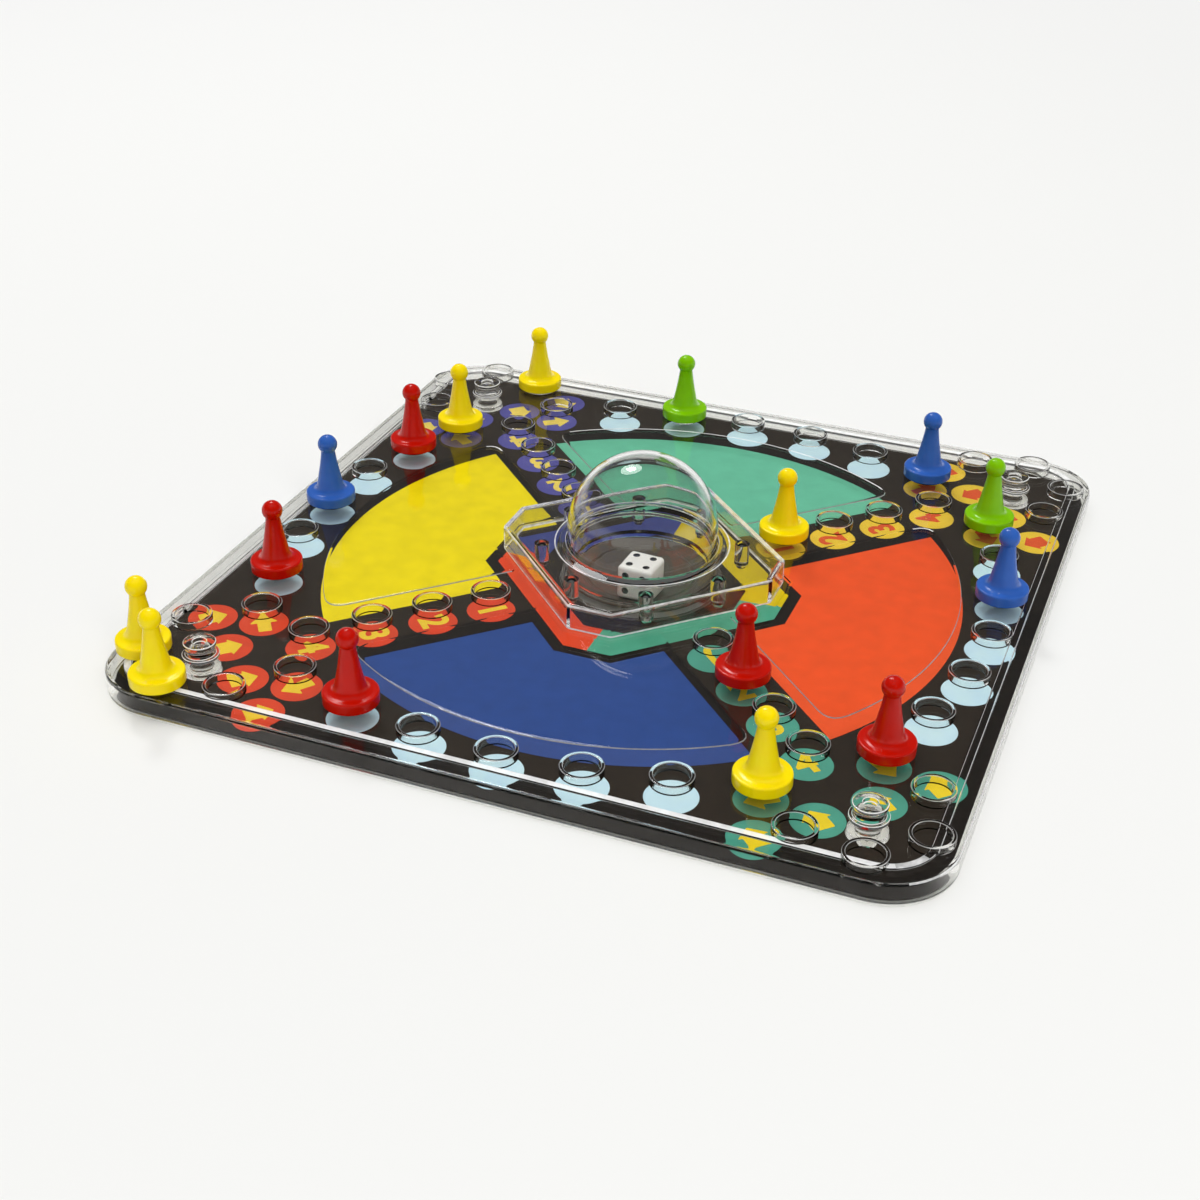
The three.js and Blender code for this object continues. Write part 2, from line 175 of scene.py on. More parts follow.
def blotches(
    tree: Tree,
    size_mm: float,
    detail: float,
    low: float = 0.0,
    high: float = 1.0,
    along: float = 1.0,
) -> tuple[Socket, Socket]:
    """Adds blotches of a real size on the object.

    Args:
        tree: the material's node tree.
        size_mm: the rough size of one blotch.
        detail: how many finer layers lie over it.
        low: what the deepest blotches come to.
        high: what the palest ones come to.
        along: how tightly they lie along X, below 1 for streaks.

    Returns:
        The bare noise, and the noise spread from low to high.
    """
    point = add_node(tree, "TexCoord").outputs["Object"]
    inputs = {0: point, 1: (along, 1.0, 1.0)}
    point = add_node(tree, "VectorMath", {"operation": "MULTIPLY"}, inputs).outputs[0]
    inputs = {"Vector": point, "Scale": 1 / (size_mm * MM), "Detail": detail}
    bare = add_node(tree, "TexNoise", inputs=inputs).outputs["Fac"]
    inputs = {"Value": bare, "From Min": NOISE_LOW, "From Max": NOISE_HIGH}
    inputs |= {"To Min": low, "To Max": high}
    return bare, add_node(tree, "MapRange", inputs=inputs).outputs["Result"]


@dataclass(frozen=True)
class Finish:
    """A material, named for what it is and how its surface was made."""

    name: str

    def shade(self, tree: Tree) -> Socket:
        """Adds the nodes and returns the shader that goes to the surface."""
        raise NotImplementedError

    def material(self) -> bpy.types.Material:
        """Makes the Blender material on the first call.

        Returns:
            The material.
        """
        found = bpy.data.materials.get(self.name)
        if found:
            return found
        material = bpy.data.materials.new(self.name)
        material.use_nodes = True
        tree = material.node_tree
        tree.nodes.clear()
        add_node(tree, "OutputMaterial", inputs={"Surface": self.shade(tree)})
        return material


@dataclass(frozen=True)
class ClearPolystyrene(Finish):
    """Clear general-purpose polystyrene, injection moulded in a polished tool.

    It gives the eye sharp white edges and a faint swell from the flow of the melt. Light goes
    straight through to what lies under it, so its shadow is thin. Polystyrene has an IOR of about
    1.59. That and its mirror image of the pale room are held down to match the photograph.
    """

    tint: str = "#FAFAF8"
    roughness: float = 0.0
    ior: float = 1.5
    mirror: float = 0.3
    swell_mm: float = 9.0
    swell_depth_mm: float = 0.006
    shadow: str = "#FBFBFA"

    def shade(self, tree: Tree) -> Socket:
        """Adds glass-like plastic that light falls through.

        Args:
            tree: the material's node tree.

        Returns:
            The shader.
        """
        swell, _ = blotches(tree, self.swell_mm, detail=1.0)
        inputs = {"Height": swell, "Distance": self.swell_depth_mm * MM}
        normal = add_node(tree, "Bump", inputs=inputs).outputs[0]
        inputs = {
            "Base Color": linear(self.tint),
            "Roughness": self.roughness,
            "IOR": self.ior,
            "Transmission Weight": 1.0,
            "Specular Tint": (self.mirror, self.mirror, self.mirror, 1.0),
            "Normal": normal,
        }
        plastic = add_node(tree, "BsdfPrincipled", inputs=inputs)
        thin = add_node(tree, "BsdfTransparent", inputs={"Color": linear(self.shadow)})
        path = add_node(tree, "LightPath").outputs
        inputs = {0: path["Is Shadow Ray"], 1: path["Is Diffuse Ray"]}
        lighting = add_node(tree, "Math", {"operation": "MAXIMUM"}, inputs)
        inputs = {0: lighting.outputs[0], 1: plastic.outputs[0], 2: thin.outputs[0]}
        return add_node(tree, "MixShader", inputs=inputs).outputs[0]


@dataclass(frozen=True)
class SatinPolystyrene(ClearPolystyrene):
    """Clear polystyrene moulded against a finely spark-eroded face.

    It gives the eye a thin milky veil that greys the print under the playing field. The eroded
    grain of about 0.05 mm is drawn ten times coarser, so that it shows.
    """

    veil: str = "#B39C80"
    veil_share: float = 0.03
    spread: float = 0.1
    grain_mm: float = 0.5
    grain_depth_mm: float = 0.01
    patch_mm: float = 2.5

    def shade(self, tree: Tree) -> Socket:
        """Adds a weak matte layer to the clear plastic.

        Args:
            tree: the material's node tree.

        Returns:
            The shader.
        """
        clear = super().shade(tree)
        grain, _ = blotches(tree, self.grain_mm, detail=3.0)
        inputs = {"Height": grain, "Distance": self.grain_depth_mm * MM}
        normal = add_node(tree, "Bump", inputs=inputs).outputs[0]
        inputs = {"Color": linear(self.veil), "Normal": normal}
        matte = add_node(tree, "BsdfDiffuse", inputs=inputs)
        low, high = self.veil_share * (1 - self.spread), self.veil_share * (1 + self.spread)
        _, share = blotches(tree, self.patch_mm, detail=2.0, low=low, high=high)
        inputs = {0: share, 1: clear, 2: matte.outputs[0]}
        return add_node(tree, "MixShader", inputs=inputs).outputs[0]


@dataclass(frozen=True)
class RubbedPolystyrene(SatinPolystyrene):
    """Clear polystyrene under a white matte veil, which paints highlight lines on narrow edges.

    It gives the eye bright, slightly broken lines along the rounded edges, as painted highlights.
    """

    # The white veil is a painted highlight on the edges that carry it.
    veil: str = "#FFFFFF"
    veil_share: float = 0.55
    spread: float = 0.3


@dataclass(frozen=True)
class OpaqueFinish(Finish):
    """An opaque surface in patches of two close shades, under a fine grain."""

    colour: str
    deep: str
    patch_mm: float = 8.0
    patch_detail: float = 2.0
    grain_mm: float = 0.4
    grain_detail: float = 3.0
    depth_mm: float = 0.02
    roughness: Span = (0.5, 0.65)
    ior: float = 1.5
    specular: float = 0.5
    metallic: float = 0.0
    coat: float = 0.0
    coat_roughness: float = 0.03
    along: float = 1.0

    def normal(self, tree: Tree, patches: Socket, grain: Socket) -> Socket:
        """Returns the normal as the grain bends it."""
        inputs = {"Height": grain, "Distance": self.depth_mm * MM}
        return add_node(tree, "Bump", inputs=inputs).outputs[0]

    def shade(self, tree: Tree) -> Socket:
        """Adds two shades in patches under a grain.

        Args:
            tree: the material's node tree.

        Returns:
            The shader.
        """
        patches, share = blotches(tree, self.patch_mm, self.patch_detail, along=self.along)
        grain, roughness = blotches(
            tree, self.grain_mm, self.grain_detail, *self.roughness, self.along
        )
        inputs = {0: share, 6: linear(self.colour), 7: linear(self.deep)}
        colour = add_node(tree, "Mix", {"data_type": "RGBA"}, inputs)
        inputs = {
            "Base Color": colour.outputs[2],
            "Roughness": roughness,
            "IOR": self.ior,
            "Specular IOR Level": self.specular,
            "Metallic": self.metallic,
            "Coat Weight": self.coat,
            "Coat Roughness": self.coat_roughness,
            "Normal": self.normal(tree, patches, grain),
        }
        return add_node(tree, "BsdfPrincipled", inputs=inputs).outputs[0]


@dataclass(frozen=True)
class OffsetPrint(OpaqueFinish):
    """Offset-printed ink on greyboard under a satin varnish.

    It gives the eye flat, slightly mottled colour with a soft sheen and the tooth of the paper,
    which is drawn at 0.5 mm, about five times its size, so that it shows.
    """

    patch_mm: float = 6.0
    patch_detail: float = 4.0
    grain_mm: float = 0.5
    roughness: Span = (0.42, 0.55)
    ior: float = 1.48
    specular: float = 0.03


@dataclass(frozen=True)
class GlossyPolystyrene(OpaqueFinish):
    """Opaque high-impact polystyrene, injection moulded in a polished tool.

    It gives the eye a bright gloss with a soft swell, faint flow marks, a thin parting line down
    two sides and light rub marks from play.
    """

    patch_mm: float = 7.0
    grain_mm: float = 0.6
    grain_detail: float = 4.0
    depth_mm: float = 0.012
    roughness: Span = (0.15, 0.2)
    ior: float = 1.57
    specular: float = 0.2
    parting_mm: float = 0.12
    parting_depth_mm: float = 0.03

    def normal(self, tree: Tree, patches: Socket, grain: Socket) -> Socket:
        """Bends the normal by the swell and by a parting line where X is 0.

        Args:
            tree: the material's node tree.
            patches: the noise of the flow marks, which swell.
            grain: the noise of the rub marks, which are flat.

        Returns:
            The bent normal.
        """
        swell = super().normal(tree, grain, patches)
        point = add_node(tree, "TexCoord").outputs["Object"]
        across = add_node(tree, "SeparateXYZ", inputs={0: point}).outputs["X"]
        away = add_node(tree, "Math", {"operation": "ABSOLUTE"}, {0: across}).outputs[0]
        inputs = {"Value": away, "From Max": self.parting_mm * MM, "To Min": 1.0, "To Max": 0.0}
        line = add_node(tree, "MapRange", inputs=inputs).outputs["Result"]
        inputs = {"Height": line, "Distance": self.parting_depth_mm * MM, "Normal": swell}
        return add_node(tree, "Bump", inputs=inputs).outputs[0]


@dataclass(frozen=True)
class EtchedAbs(OpaqueFinish):
    """ABS, injection moulded against an etched face.

    It gives the eye an even, dull surface with a slight sparkle. The etched grain is drawn at
    0.4 mm, about ten times its size, so that it shows.
    """


@dataclass(frozen=True)
class Enamel(OpaqueFinish):
    """Enamel paint that was dabbed into hollows.

    It gives the eye a dull sheen, so that a pip stands out from the polished plastic round it.
    """

    roughness: Span = (0.3, 0.4)


@dataclass(frozen=True)
class LacqueredSteel(OpaqueFinish):
    """Sheet steel, pressed and sprayed with lacquer.

    It gives the eye a dark satin face under a thin gloss, with the fine dimples that spray leaves.
    """

    patch_mm: float = 0.6
    patch_detail: float = 3.0
    grain_mm: float = 0.6
    depth_mm: float = 0.01
    roughness: Span = (0.3, 0.42)
    coat: float = 0.3
    coat_roughness: float = 0.15


@dataclass(frozen=True)
class RolledSteel(OpaqueFinish):
    """Spring steel with the long fine marks that rolling leaves.

    It gives the eye a soft streaked sheen along the strip. The marks are drawn 0.25 mm wide,
    about ten times their size, so that they show.
    """

    patch_mm: float = 0.25
    patch_detail: float = 3.0
    grain_mm: float = 0.25
    depth_mm: float = 0.01
    roughness: Span = (0.22, 0.38)
    metallic: float = 1.0
    along: float = 0.04


@dataclass(frozen=True)
class Backdrop(Finish):
    """A pale matte table that keeps the shadow and fades into the white surround far away."""

    colour: str = "#F0F0EE"
    grain_mm: float = 1.5
    grain_depth_mm: float = 0.02
    surround: float = 0.93
    fade_start: float = 0.4
    fade_end: float = 1.7

    def shade(self, tree: Tree) -> Socket:
        """Adds the plain pale floor, whose far part shows as bright as the horizon.

        Args:
            tree: the material's node tree.

        Returns:
            The shader.
        """
        grain, _ = blotches(tree, self.grain_mm, detail=3.0)
        inputs = {"Height": grain, "Distance": self.grain_depth_mm * MM}
        normal = add_node(tree, "Bump", inputs=inputs).outputs[0]
        inputs = {"Color": linear(self.colour), "Normal": normal}
        matte = add_node(tree, "BsdfDiffuse", inputs=inputs)
        point = add_node(tree, "TexCoord").outputs["Object"]
        away = add_node(tree, "VectorMath", {"operation": "LENGTH"}, {0: point})
        inputs = {"Value": away.outputs["Value"], "From Min": self.fade_start}
        inputs |= {"From Max": self.fade_end, "To Min": 0.0, "To Max": 1.0}
        far = add_node(tree, "MapRange", {"interpolation_type": "SMOOTHSTEP"}, inputs)
        path = add_node(tree, "LightPath").outputs
        seen = path["Is Camera Ray"]
        for ray in ("Is Glossy Ray", "Is Transmission Ray"):
            inputs = {0: seen, 1: path[ray]}
            seen = add_node(tree, "Math", {"operation": "MAXIMUM"}, inputs).outputs[0]
        inputs = {0: far.outputs["Result"], 1: seen}
        share = add_node(tree, "Math", {"operation": "MULTIPLY"}, inputs)
        white = add_node(tree, "Emission", inputs={"Strength": self.surround})
        inputs = {0: share.outputs[0], 1: matte.outputs[0], 2: white.outputs[0]}
        return add_node(tree, "MixShader", inputs=inputs).outputs[0]


POLISHED_CLEAR = ClearPolystyrene("polystyrene_clear_polished")
# The next three are white veils of different strength that paint highlight lines on edges: the
# shell's rims, beads, bevels and collars, the housing's edges and the posts' tops.
EDGE_HIGHLIGHT_CLEAR = RubbedPolystyrene("polystyrene_clear_rubbed_edge")
SOFT_HIGHLIGHT_CLEAR = RubbedPolystyrene("polystyrene_clear_scuffed_top", veil_share=0.3, spread=0.15)
STRONG_HIGHLIGHT_CLEAR = RubbedPolystyrene("polystyrene_clear_worn_rim", veil_share=0.75, spread=0.1)
SATIN_CLEAR = SatinPolystyrene("polystyrene_clear_satin_field")
BUBBLE_CLEAR = ClearPolystyrene("polystyrene_clear_bubble", mirror=1.0, swell_depth_mm=0.002)
COVER_CLEAR = ClearPolystyrene("polystyrene_clear_cover", mirror=0.9, swell_depth_mm=0.012)
SHELL_FINISHES = [POLISHED_CLEAR, SATIN_CLEAR, EDGE_HIGHLIGHT_CLEAR, SOFT_HIGHLIGHT_CLEAR, STRONG_HIGHLIGHT_CLEAR]
CARD_INK = OffsetPrint("offset_print_black_on_greyboard", "#17120E", "#1E1813")
TRACK_INK = OffsetPrint("offset_print_pale_blue", "#D6F6FF", "#CCEEFF")
DIE_PLATE_LACQUER = LacqueredSteel("steel_plate_brown_lacquer", "#4A4034", "#40372C")
SPRING_STEEL = RolledSteel("spring_steel_rolled", "#B4B6B8", "#97999C")
CRADLE_ABS = EtchedAbs("abs_brown_etched", "#3A322A", "#332B24")
DIE_WHITE = GlossyPolystyrene("polystyrene_white_polished", "#F6F5F1", "#EFEDE8")
PIP_PAINT = Enamel("enamel_black_pips", "#26262A", "#1D1D20")


def ink(name: str, colour: str) -> OffsetPrint:
    """Returns a printed colour whose mottle is a shade deeper than the ink itself."""
    worn = "#" + "".join(f"{round(c * MOTTLE):02X}" for c in channels(colour))
    return OffsetPrint("offset_print_" + name, colour, worn)


# Outlines, in millimetres


def arc(centre: Point, radius: float, start: float, end: float, steps: int) -> Loop:
    """Returns points on an arc, from a start to an end in degrees, with both ends."""
    angles = [math.radians(start + (end - start) * i / steps) for i in range(steps + 1)]
    return [(centre[0] + radius * math.cos(a), centre[1] + radius * math.sin(a)) for a in angles]


def circle(centre: Point, radius: float, sides: int) -> Loop:
    """Returns the points of a circle, without the last one again."""
    return arc(centre, radius, 0, 360, sides)[:-1]


def bend(start: Point, corner: Point, end: Point, steps: int) -> Loop:
    """Draws a curve that leaves a start for a corner and turns to an end.

    Args:
        start: where it starts.
        corner: the sharp corner that it cuts off.
        end: where it ends.
        steps: the number of stretches between points.

    Returns:
        Its points, with both ends.
    """
    loop: Loop = []
    for step in range(steps + 1):
        t = step / steps
        shares = ((1 - t) ** 2, 2 * t * (1 - t), t**2)
        x, y = (sum(w * p[i] for w, p in zip(shares, (start, corner, end))) for i in (0, 1))
        loop.append((x, y))
    return loop


def soften(
    points: Sequence[Point], radii: Sequence[float], steps: int = 4, closed: bool = False
) -> Loop:
    """Rounds the corners of a line.

    Args:
        points: the line's corners.
        radii: the rounding at each corner, 0 for a sharp one, used over again if they run out.
        steps: the number of stretches in a rounding.
        closed: whether the line comes back to its start.

    Returns:
        The rounded line.
    """
    count = len(points)
    softened: Loop = []
    for i, corner in enumerate(points):
        radius = radii[i % len(radii)]
        inner = closed or 0 < i < count - 1
        if not inner or radius == 0:
            softened.append(corner)
            continue
        here = Vector(corner)
        before = Vector(points[i - 1]) - here
        after = Vector(points[(i + 1) % count]) - here
        half_turn = before.angle(after) / 2
        most = ROUNDING_SHARE * min(before.length, after.length)
        reach = min(radius / math.tan(half_turn), most)
        start = here + before.normalized() * reach
        end = here + after.normalized() * reach
        softened += bend(tuple(start), corner, tuple(end), steps)
    return softened


def turned(point: Point, quarters: int) -> Point:
    """Turns a point about the board's middle by quarter turns, anticlockwise from above."""
    x, y = point
    return [(x, y), (-y, x), (-x, -y), (y, -x)][quarters % 4]


def placed(loop: Sequence[Point], centre: Point, degrees: float) -> Loop:
    """Turns an outline about its own origin and moves it to a place."""
    cos, sin = math.cos(math.radians(degrees)), math.sin(math.radians(degrees))
    return [(centre[0] + x * cos - y * sin, centre[1] + x * sin + y * cos) for x, y in loop]


# Solids


class Solid:
    """A closed mesh under construction, in millimetres."""

    def __init__(self) -> None:
        """Starts with no points and no faces."""
        self.points: list[Place] = []
        self.faces: list[tuple[int, ...]] = []
        self.finish_of_face: list[int] = []

    def ring(self, loop: Iterable[Point], height: float) -> list[int]:
        """Adds the points of an outline.

        Args:
            loop: the outline.
            height: the height that it lies at.

        Returns:
            The points' numbers.
        """
        start = len(self.points)
        self.points += [(x, y, height) for x, y in loop]
        return list(range(start, len(self.points)))

    def face(self, corners: Sequence[int], finish: int = 0) -> None:
        """Adds one face with the number of its finish."""
        self.faces.append(tuple(corners))
        self.finish_of_face.append(finish)

    def wall(self, rings: Sequence[list[int]]) -> None:
        """Joins each ring to the next one. A ring of one point closes to a tip.

        Args:
            rings: the numbers of the points of each ring.
        """
        for lower, upper in zip(rings, rings[1:]):
            count = max(len(lower), len(upper))
            for i in range(count):
                j = (i + 1) % count
                corners = [lower[i % len(lower)], lower[j % len(lower)]]
                corners += [upper[j % len(upper)], upper[i % len(upper)]]
                self.face(list(dict.fromkeys(corners)))

    def sheet(self, outer: list[int], holes: Sequence[list[int]] = (), finish: int = 0) -> None:
        """Fills the flat area inside an outline and outside its holes.

        Args:
            outer: the numbers of the outline's points.
            holes: those of each hole.
            finish: the number of the finish.
        """
        loops = [outer, *holes]
        numbers = [n for loop in loops for n in loop]
        spread = [[Vector(self.points[n]) for n in loop] for loop in loops]
        for triangle in tessellate_polygon(spread):
            self.face([numbers[i] for i in triangle], finish)

    def column(self, profile: Loop, sides: int, centre: Point = ORIGIN) -> list[list[int]]:
        """Turns an open profile of radius and height round an upright axis.

        Args:
            profile: the radius and height of each ring.
            sides: the number of sides.
            centre: where the axis stands.

        Returns:
            The rings.
        """
        rings = [self.ring(circle(centre, r, sides), z) for r, z in profile]
        self.wall(rings)
        return rings

    def lathe(self, profile: Sequence[Point], sides: int, centre: Point = ORIGIN) -> "Solid":
        """Turns a closed profile of radius and height round an upright axis.

        Args:
            profile: from the axis to the axis, or a line that comes back to its start.
            sides: the number of sides.
            centre: where the axis stands.

        Returns:
            The solid itself.
        """
        rings = []
        for radius, height in profile:
            loop = circle(centre, radius, sides) if radius else [centre]
            rings.append(self.ring(loop, height))
        if profile[0] == profile[-1] and profile[0][0] > 0:
            self.points = self.points[: rings[-1][0]]
            rings[-1] = rings[0]
        self.wall(rings)
        return self

    def slab(self, outline: Loop, bottom: float, top: float, holes: Sequence[Loop] = ()) -> None:
        """Adds a flat plate with straight sides.

        Args:
            outline: its outline.
            bottom: the height of its underside.
            top: the height of its upper side.
            holes: the outlines of its holes.
        """
        loops = [outline, *holes]
        lower = [self.ring(loop, bottom) for loop in loops]
        upper = [self.ring(loop, top) for loop in loops]
        for low, high in zip(lower, upper):
            self.wall([low, high])
        self.sheet(lower[0], lower[1:])
        self.sheet(upper[0], upper[1:])

    def mesh(self, name: str, crease: float = CREASE) -> Mesh:
        """Makes the Blender mesh.

        Args:
            name: the mesh's name.
            crease: the angle in degrees above which an edge stays sharp.

        Returns:
            The mesh, in metres, with its faces pointing out.
        """
        mesh = bpy.data.meshes.new(name)
        mesh.from_pydata([[c * MM for c in p] for p in self.points], [], self.faces)
        mesh.polygons.foreach_set("material_index", self.finish_of_face)
        work = bmesh.new()
        work.from_mesh(mesh)
        bmesh.ops.recalc_face_normals(work, faces=work.faces)
        open_edges = sum(1 for edge in work.edges if len(edge.link_faces) != 2)
        if open_edges:
            log.warning("%s has %d open edges", name, open_edges)
        work.to_mesh(mesh)
        work.free()
        smooth(mesh, crease)
        return mesh


def smooth(mesh: Mesh, crease: float) -> None:
    """Smooths a mesh, apart from edges sharper than an angle in degrees."""
    mesh.shade_smooth()
    mesh.set_sharp_from_angle(angle=math.radians(crease))


def new_object(name: str, data: bpy.types.ID) -> bpy.types.Object:
    """Puts a new object in the scene.

    Args:
        name: its name.
        data: its mesh, curve, lamp or camera.

    Returns:
        The object.
    """
    item = bpy.data.objects.new(name, data)
    bpy.context.scene.collection.objects.link(item)
    return item


def evaluated_mesh(item: bpy.types.Object) -> Mesh:
    """Returns an object's final mesh, with its modifiers applied."""
    graph = bpy.context.evaluated_depsgraph_get()
    return bpy.data.meshes.new_from_object(item.evaluated_get(graph))


def combined(name: str, base: Mesh, tool: Mesh, work: Work, finishes: Iterable[Finish]) -> Mesh:
    """Joins a mesh with a tool or cuts it by one.

    Args:
        name: the new mesh's name.
        base: the mesh that is worked on.
        tool: the mesh that is joined or cut away.
        work: which of the two.
        finishes: the finishes whose numbers both meshes keep.

    Returns:
        The new mesh.
    """
    for mesh in (base, tool):
        for finish in finishes:
            mesh.materials.append(finish.material())
    worked, cutter = (new_object("worked", mesh) for mesh in (base, tool))
    modifier = worked.modifiers.new("work", "BOOLEAN")
    modifier.operation = work.value
    modifier.object = cutter
    modifier.solver = "MANIFOLD"
    mesh = evaluated_mesh(worked)
    mesh.name = name
    for item in (worked, cutter):
        bpy.data.objects.remove(item)
    return mesh


def add_piece(
    mesh: Mesh,
    finishes: Sequence[Finish],
    node: str = "",
    body: str = "board",
    place: Vector | None = None,
) -> bpy.types.Object:
    """Adds a finished piece to the scene, under its mesh's name.

    Args:
        mesh: its mesh, in metres.
        finishes: its finishes, in the order of the mesh's numbers.
        node: the CAD node that it stands for, if any.
        body: the CAD body that it moves with.
        place: where its origin lies, in metres.

    Returns:
        The new object.
    """
    piece = new_object(mesh.name, mesh)
    if place is not None:
        piece.location = place
    chosen = [polygon.material_index for polygon in mesh.polygons]
    mesh.materials.clear()
    for finish in finishes:
        mesh.materials.append(finish.material())
    mesh.polygons.foreach_set("material_index", chosen)
    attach(piece, body)
    if node:
        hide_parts(node)
    log.info("%s: %d faces on %s", mesh.name, len(mesh.polygons), body)
    return piece


# The board


@dataclass
class Layout:
    """Where the spaces lie, in millimetres. The near side is drawn, the others are its turns."""

    half: float = 130.0
    corner: float = 21.0
    corner_steps: int = 14
    track: tuple[Point, ...] = ((0.0, 116.16), (25.12, 114.35), (49.55, 108.86), (72.82, 100.67))
    home: tuple[Point, ...] = ((87.01, 117.36), (107.19, 121.49))
    lane: tuple[float, ...] = (37.59, 51.54, 65.54, 79.84)
    post: float = 103.7
    pin_orbit: float = 33.0
    opening: float = 25.1
    housing_side: float = 38.2
    housing_end: float = 46.72
    tip_steps: int = 5

    def outline(self, inset: float) -> Loop:
        """Draws the board's outline.

        Args:
            inset: how far it is moved in.

        Returns:
            Its points.
        """
        radius = self.corner - inset
        centre = self.half - inset - radius
        loop: Loop = []
        for quarter in range(4):
            start = 90 * quarter - 90
            place = turned((centre, -centre), quarter)
            loop += arc(place, radius, start, start + 90, self.corner_steps)
        return loop

    def octagon(self, side: float, end: float) -> Loop:
        """Returns an eight-sided outline from the reach of its long sides and its short ones."""
        far = side * math.sqrt(2) - end
        return [turned(p, q) for q in range(4) for p in ((-far, -end), (far, -end))]

    def sector(
        self, reach: float, lane: float, side: float, end: float, steps: int, rounding: float = 0.0
    ) -> Loop:
        """Draws the near sector, between two lanes and outside an octagon.

        Args:
            reach: the radius of its outer arc.
            lane: from the board's diagonal to its straight edge.
            side: from the middle to the octagon's long side.
            end: from the middle to the octagon's short side.
            steps: the number of stretches in the arc.
            rounding: how far from a tip of the arc its rounded corner starts.

        Returns:
            Its outline.
        """
        far = side * math.sqrt(2) - end
        lean = math.degrees(math.asin(lane / reach))
        trim = math.degrees(rounding / reach)
        x, y = (side - lane) / math.sqrt(2), -(side + lane) / math.sqrt(2)
        loop = arc(ORIGIN, reach, 225 + lean + trim, 315 - lean - trim, steps)
        if rounding:
            tip = arc(ORIGIN, reach, 315 - lean, 315 - lean, 1)[0]
            along = (Vector((x, y)) - Vector(tip)).normalized() * rounding
            start = (tip[0] + along.x, tip[1] + along.y)
            corner = bend(loop[-1], tip, start, self.tip_steps)[1:]
            loop = [*[(-px, py) for px, py in reversed(corner)], *loop, *corner]
        return [*loop, (x, y), (far, -end), (-far, -end), (-x, y)]

    def all_round(self, right: Sequence[Point]) -> list[Point]:
        """Returns places on the near side's right half and their likes all round the board."""
        near = [*right, *[(-x, y) for x, y in right if x > 0]]
        return [turned((x, -y), q) for q in range(4) for x, y in near]

    def collar_places(self) -> list[Point]:
        """Returns the places of all sixty collars."""
        lanes = [turned((d, -d), q) for q in range(4) for d in self.lane]
        return self.all_round([*self.track, *self.home]) + lanes

    def post_places(self) -> list[Point]:
        """Returns the places of the four corner posts."""
        return [turned((self.post, -self.post), q) for q in range(4)]

    def pin_places(self) -> Loop:
        """Returns the places of the popper's eight pins, which straddle the board's axes."""
        return circle(ORIGIN, self.pin_orbit, 16)[1::2]


LAYOUT = Layout()


class Wear(Enum):
    """The finishes that the shell's edges take, as numbers in SHELL_FINISHES: clear, or a white veil
    that paints a highlight.
    """

    CLEAR = 0
    RUBBED = 2
    SCUFFED = 3
    WORN = 4


@dataclass(frozen=True)
class Worn:
    """A painted highlight on the faces that rise between two shares of upright."""

    wear: Wear = Wear.CLEAR
    low: float = 0.0
    high: float = 0.0


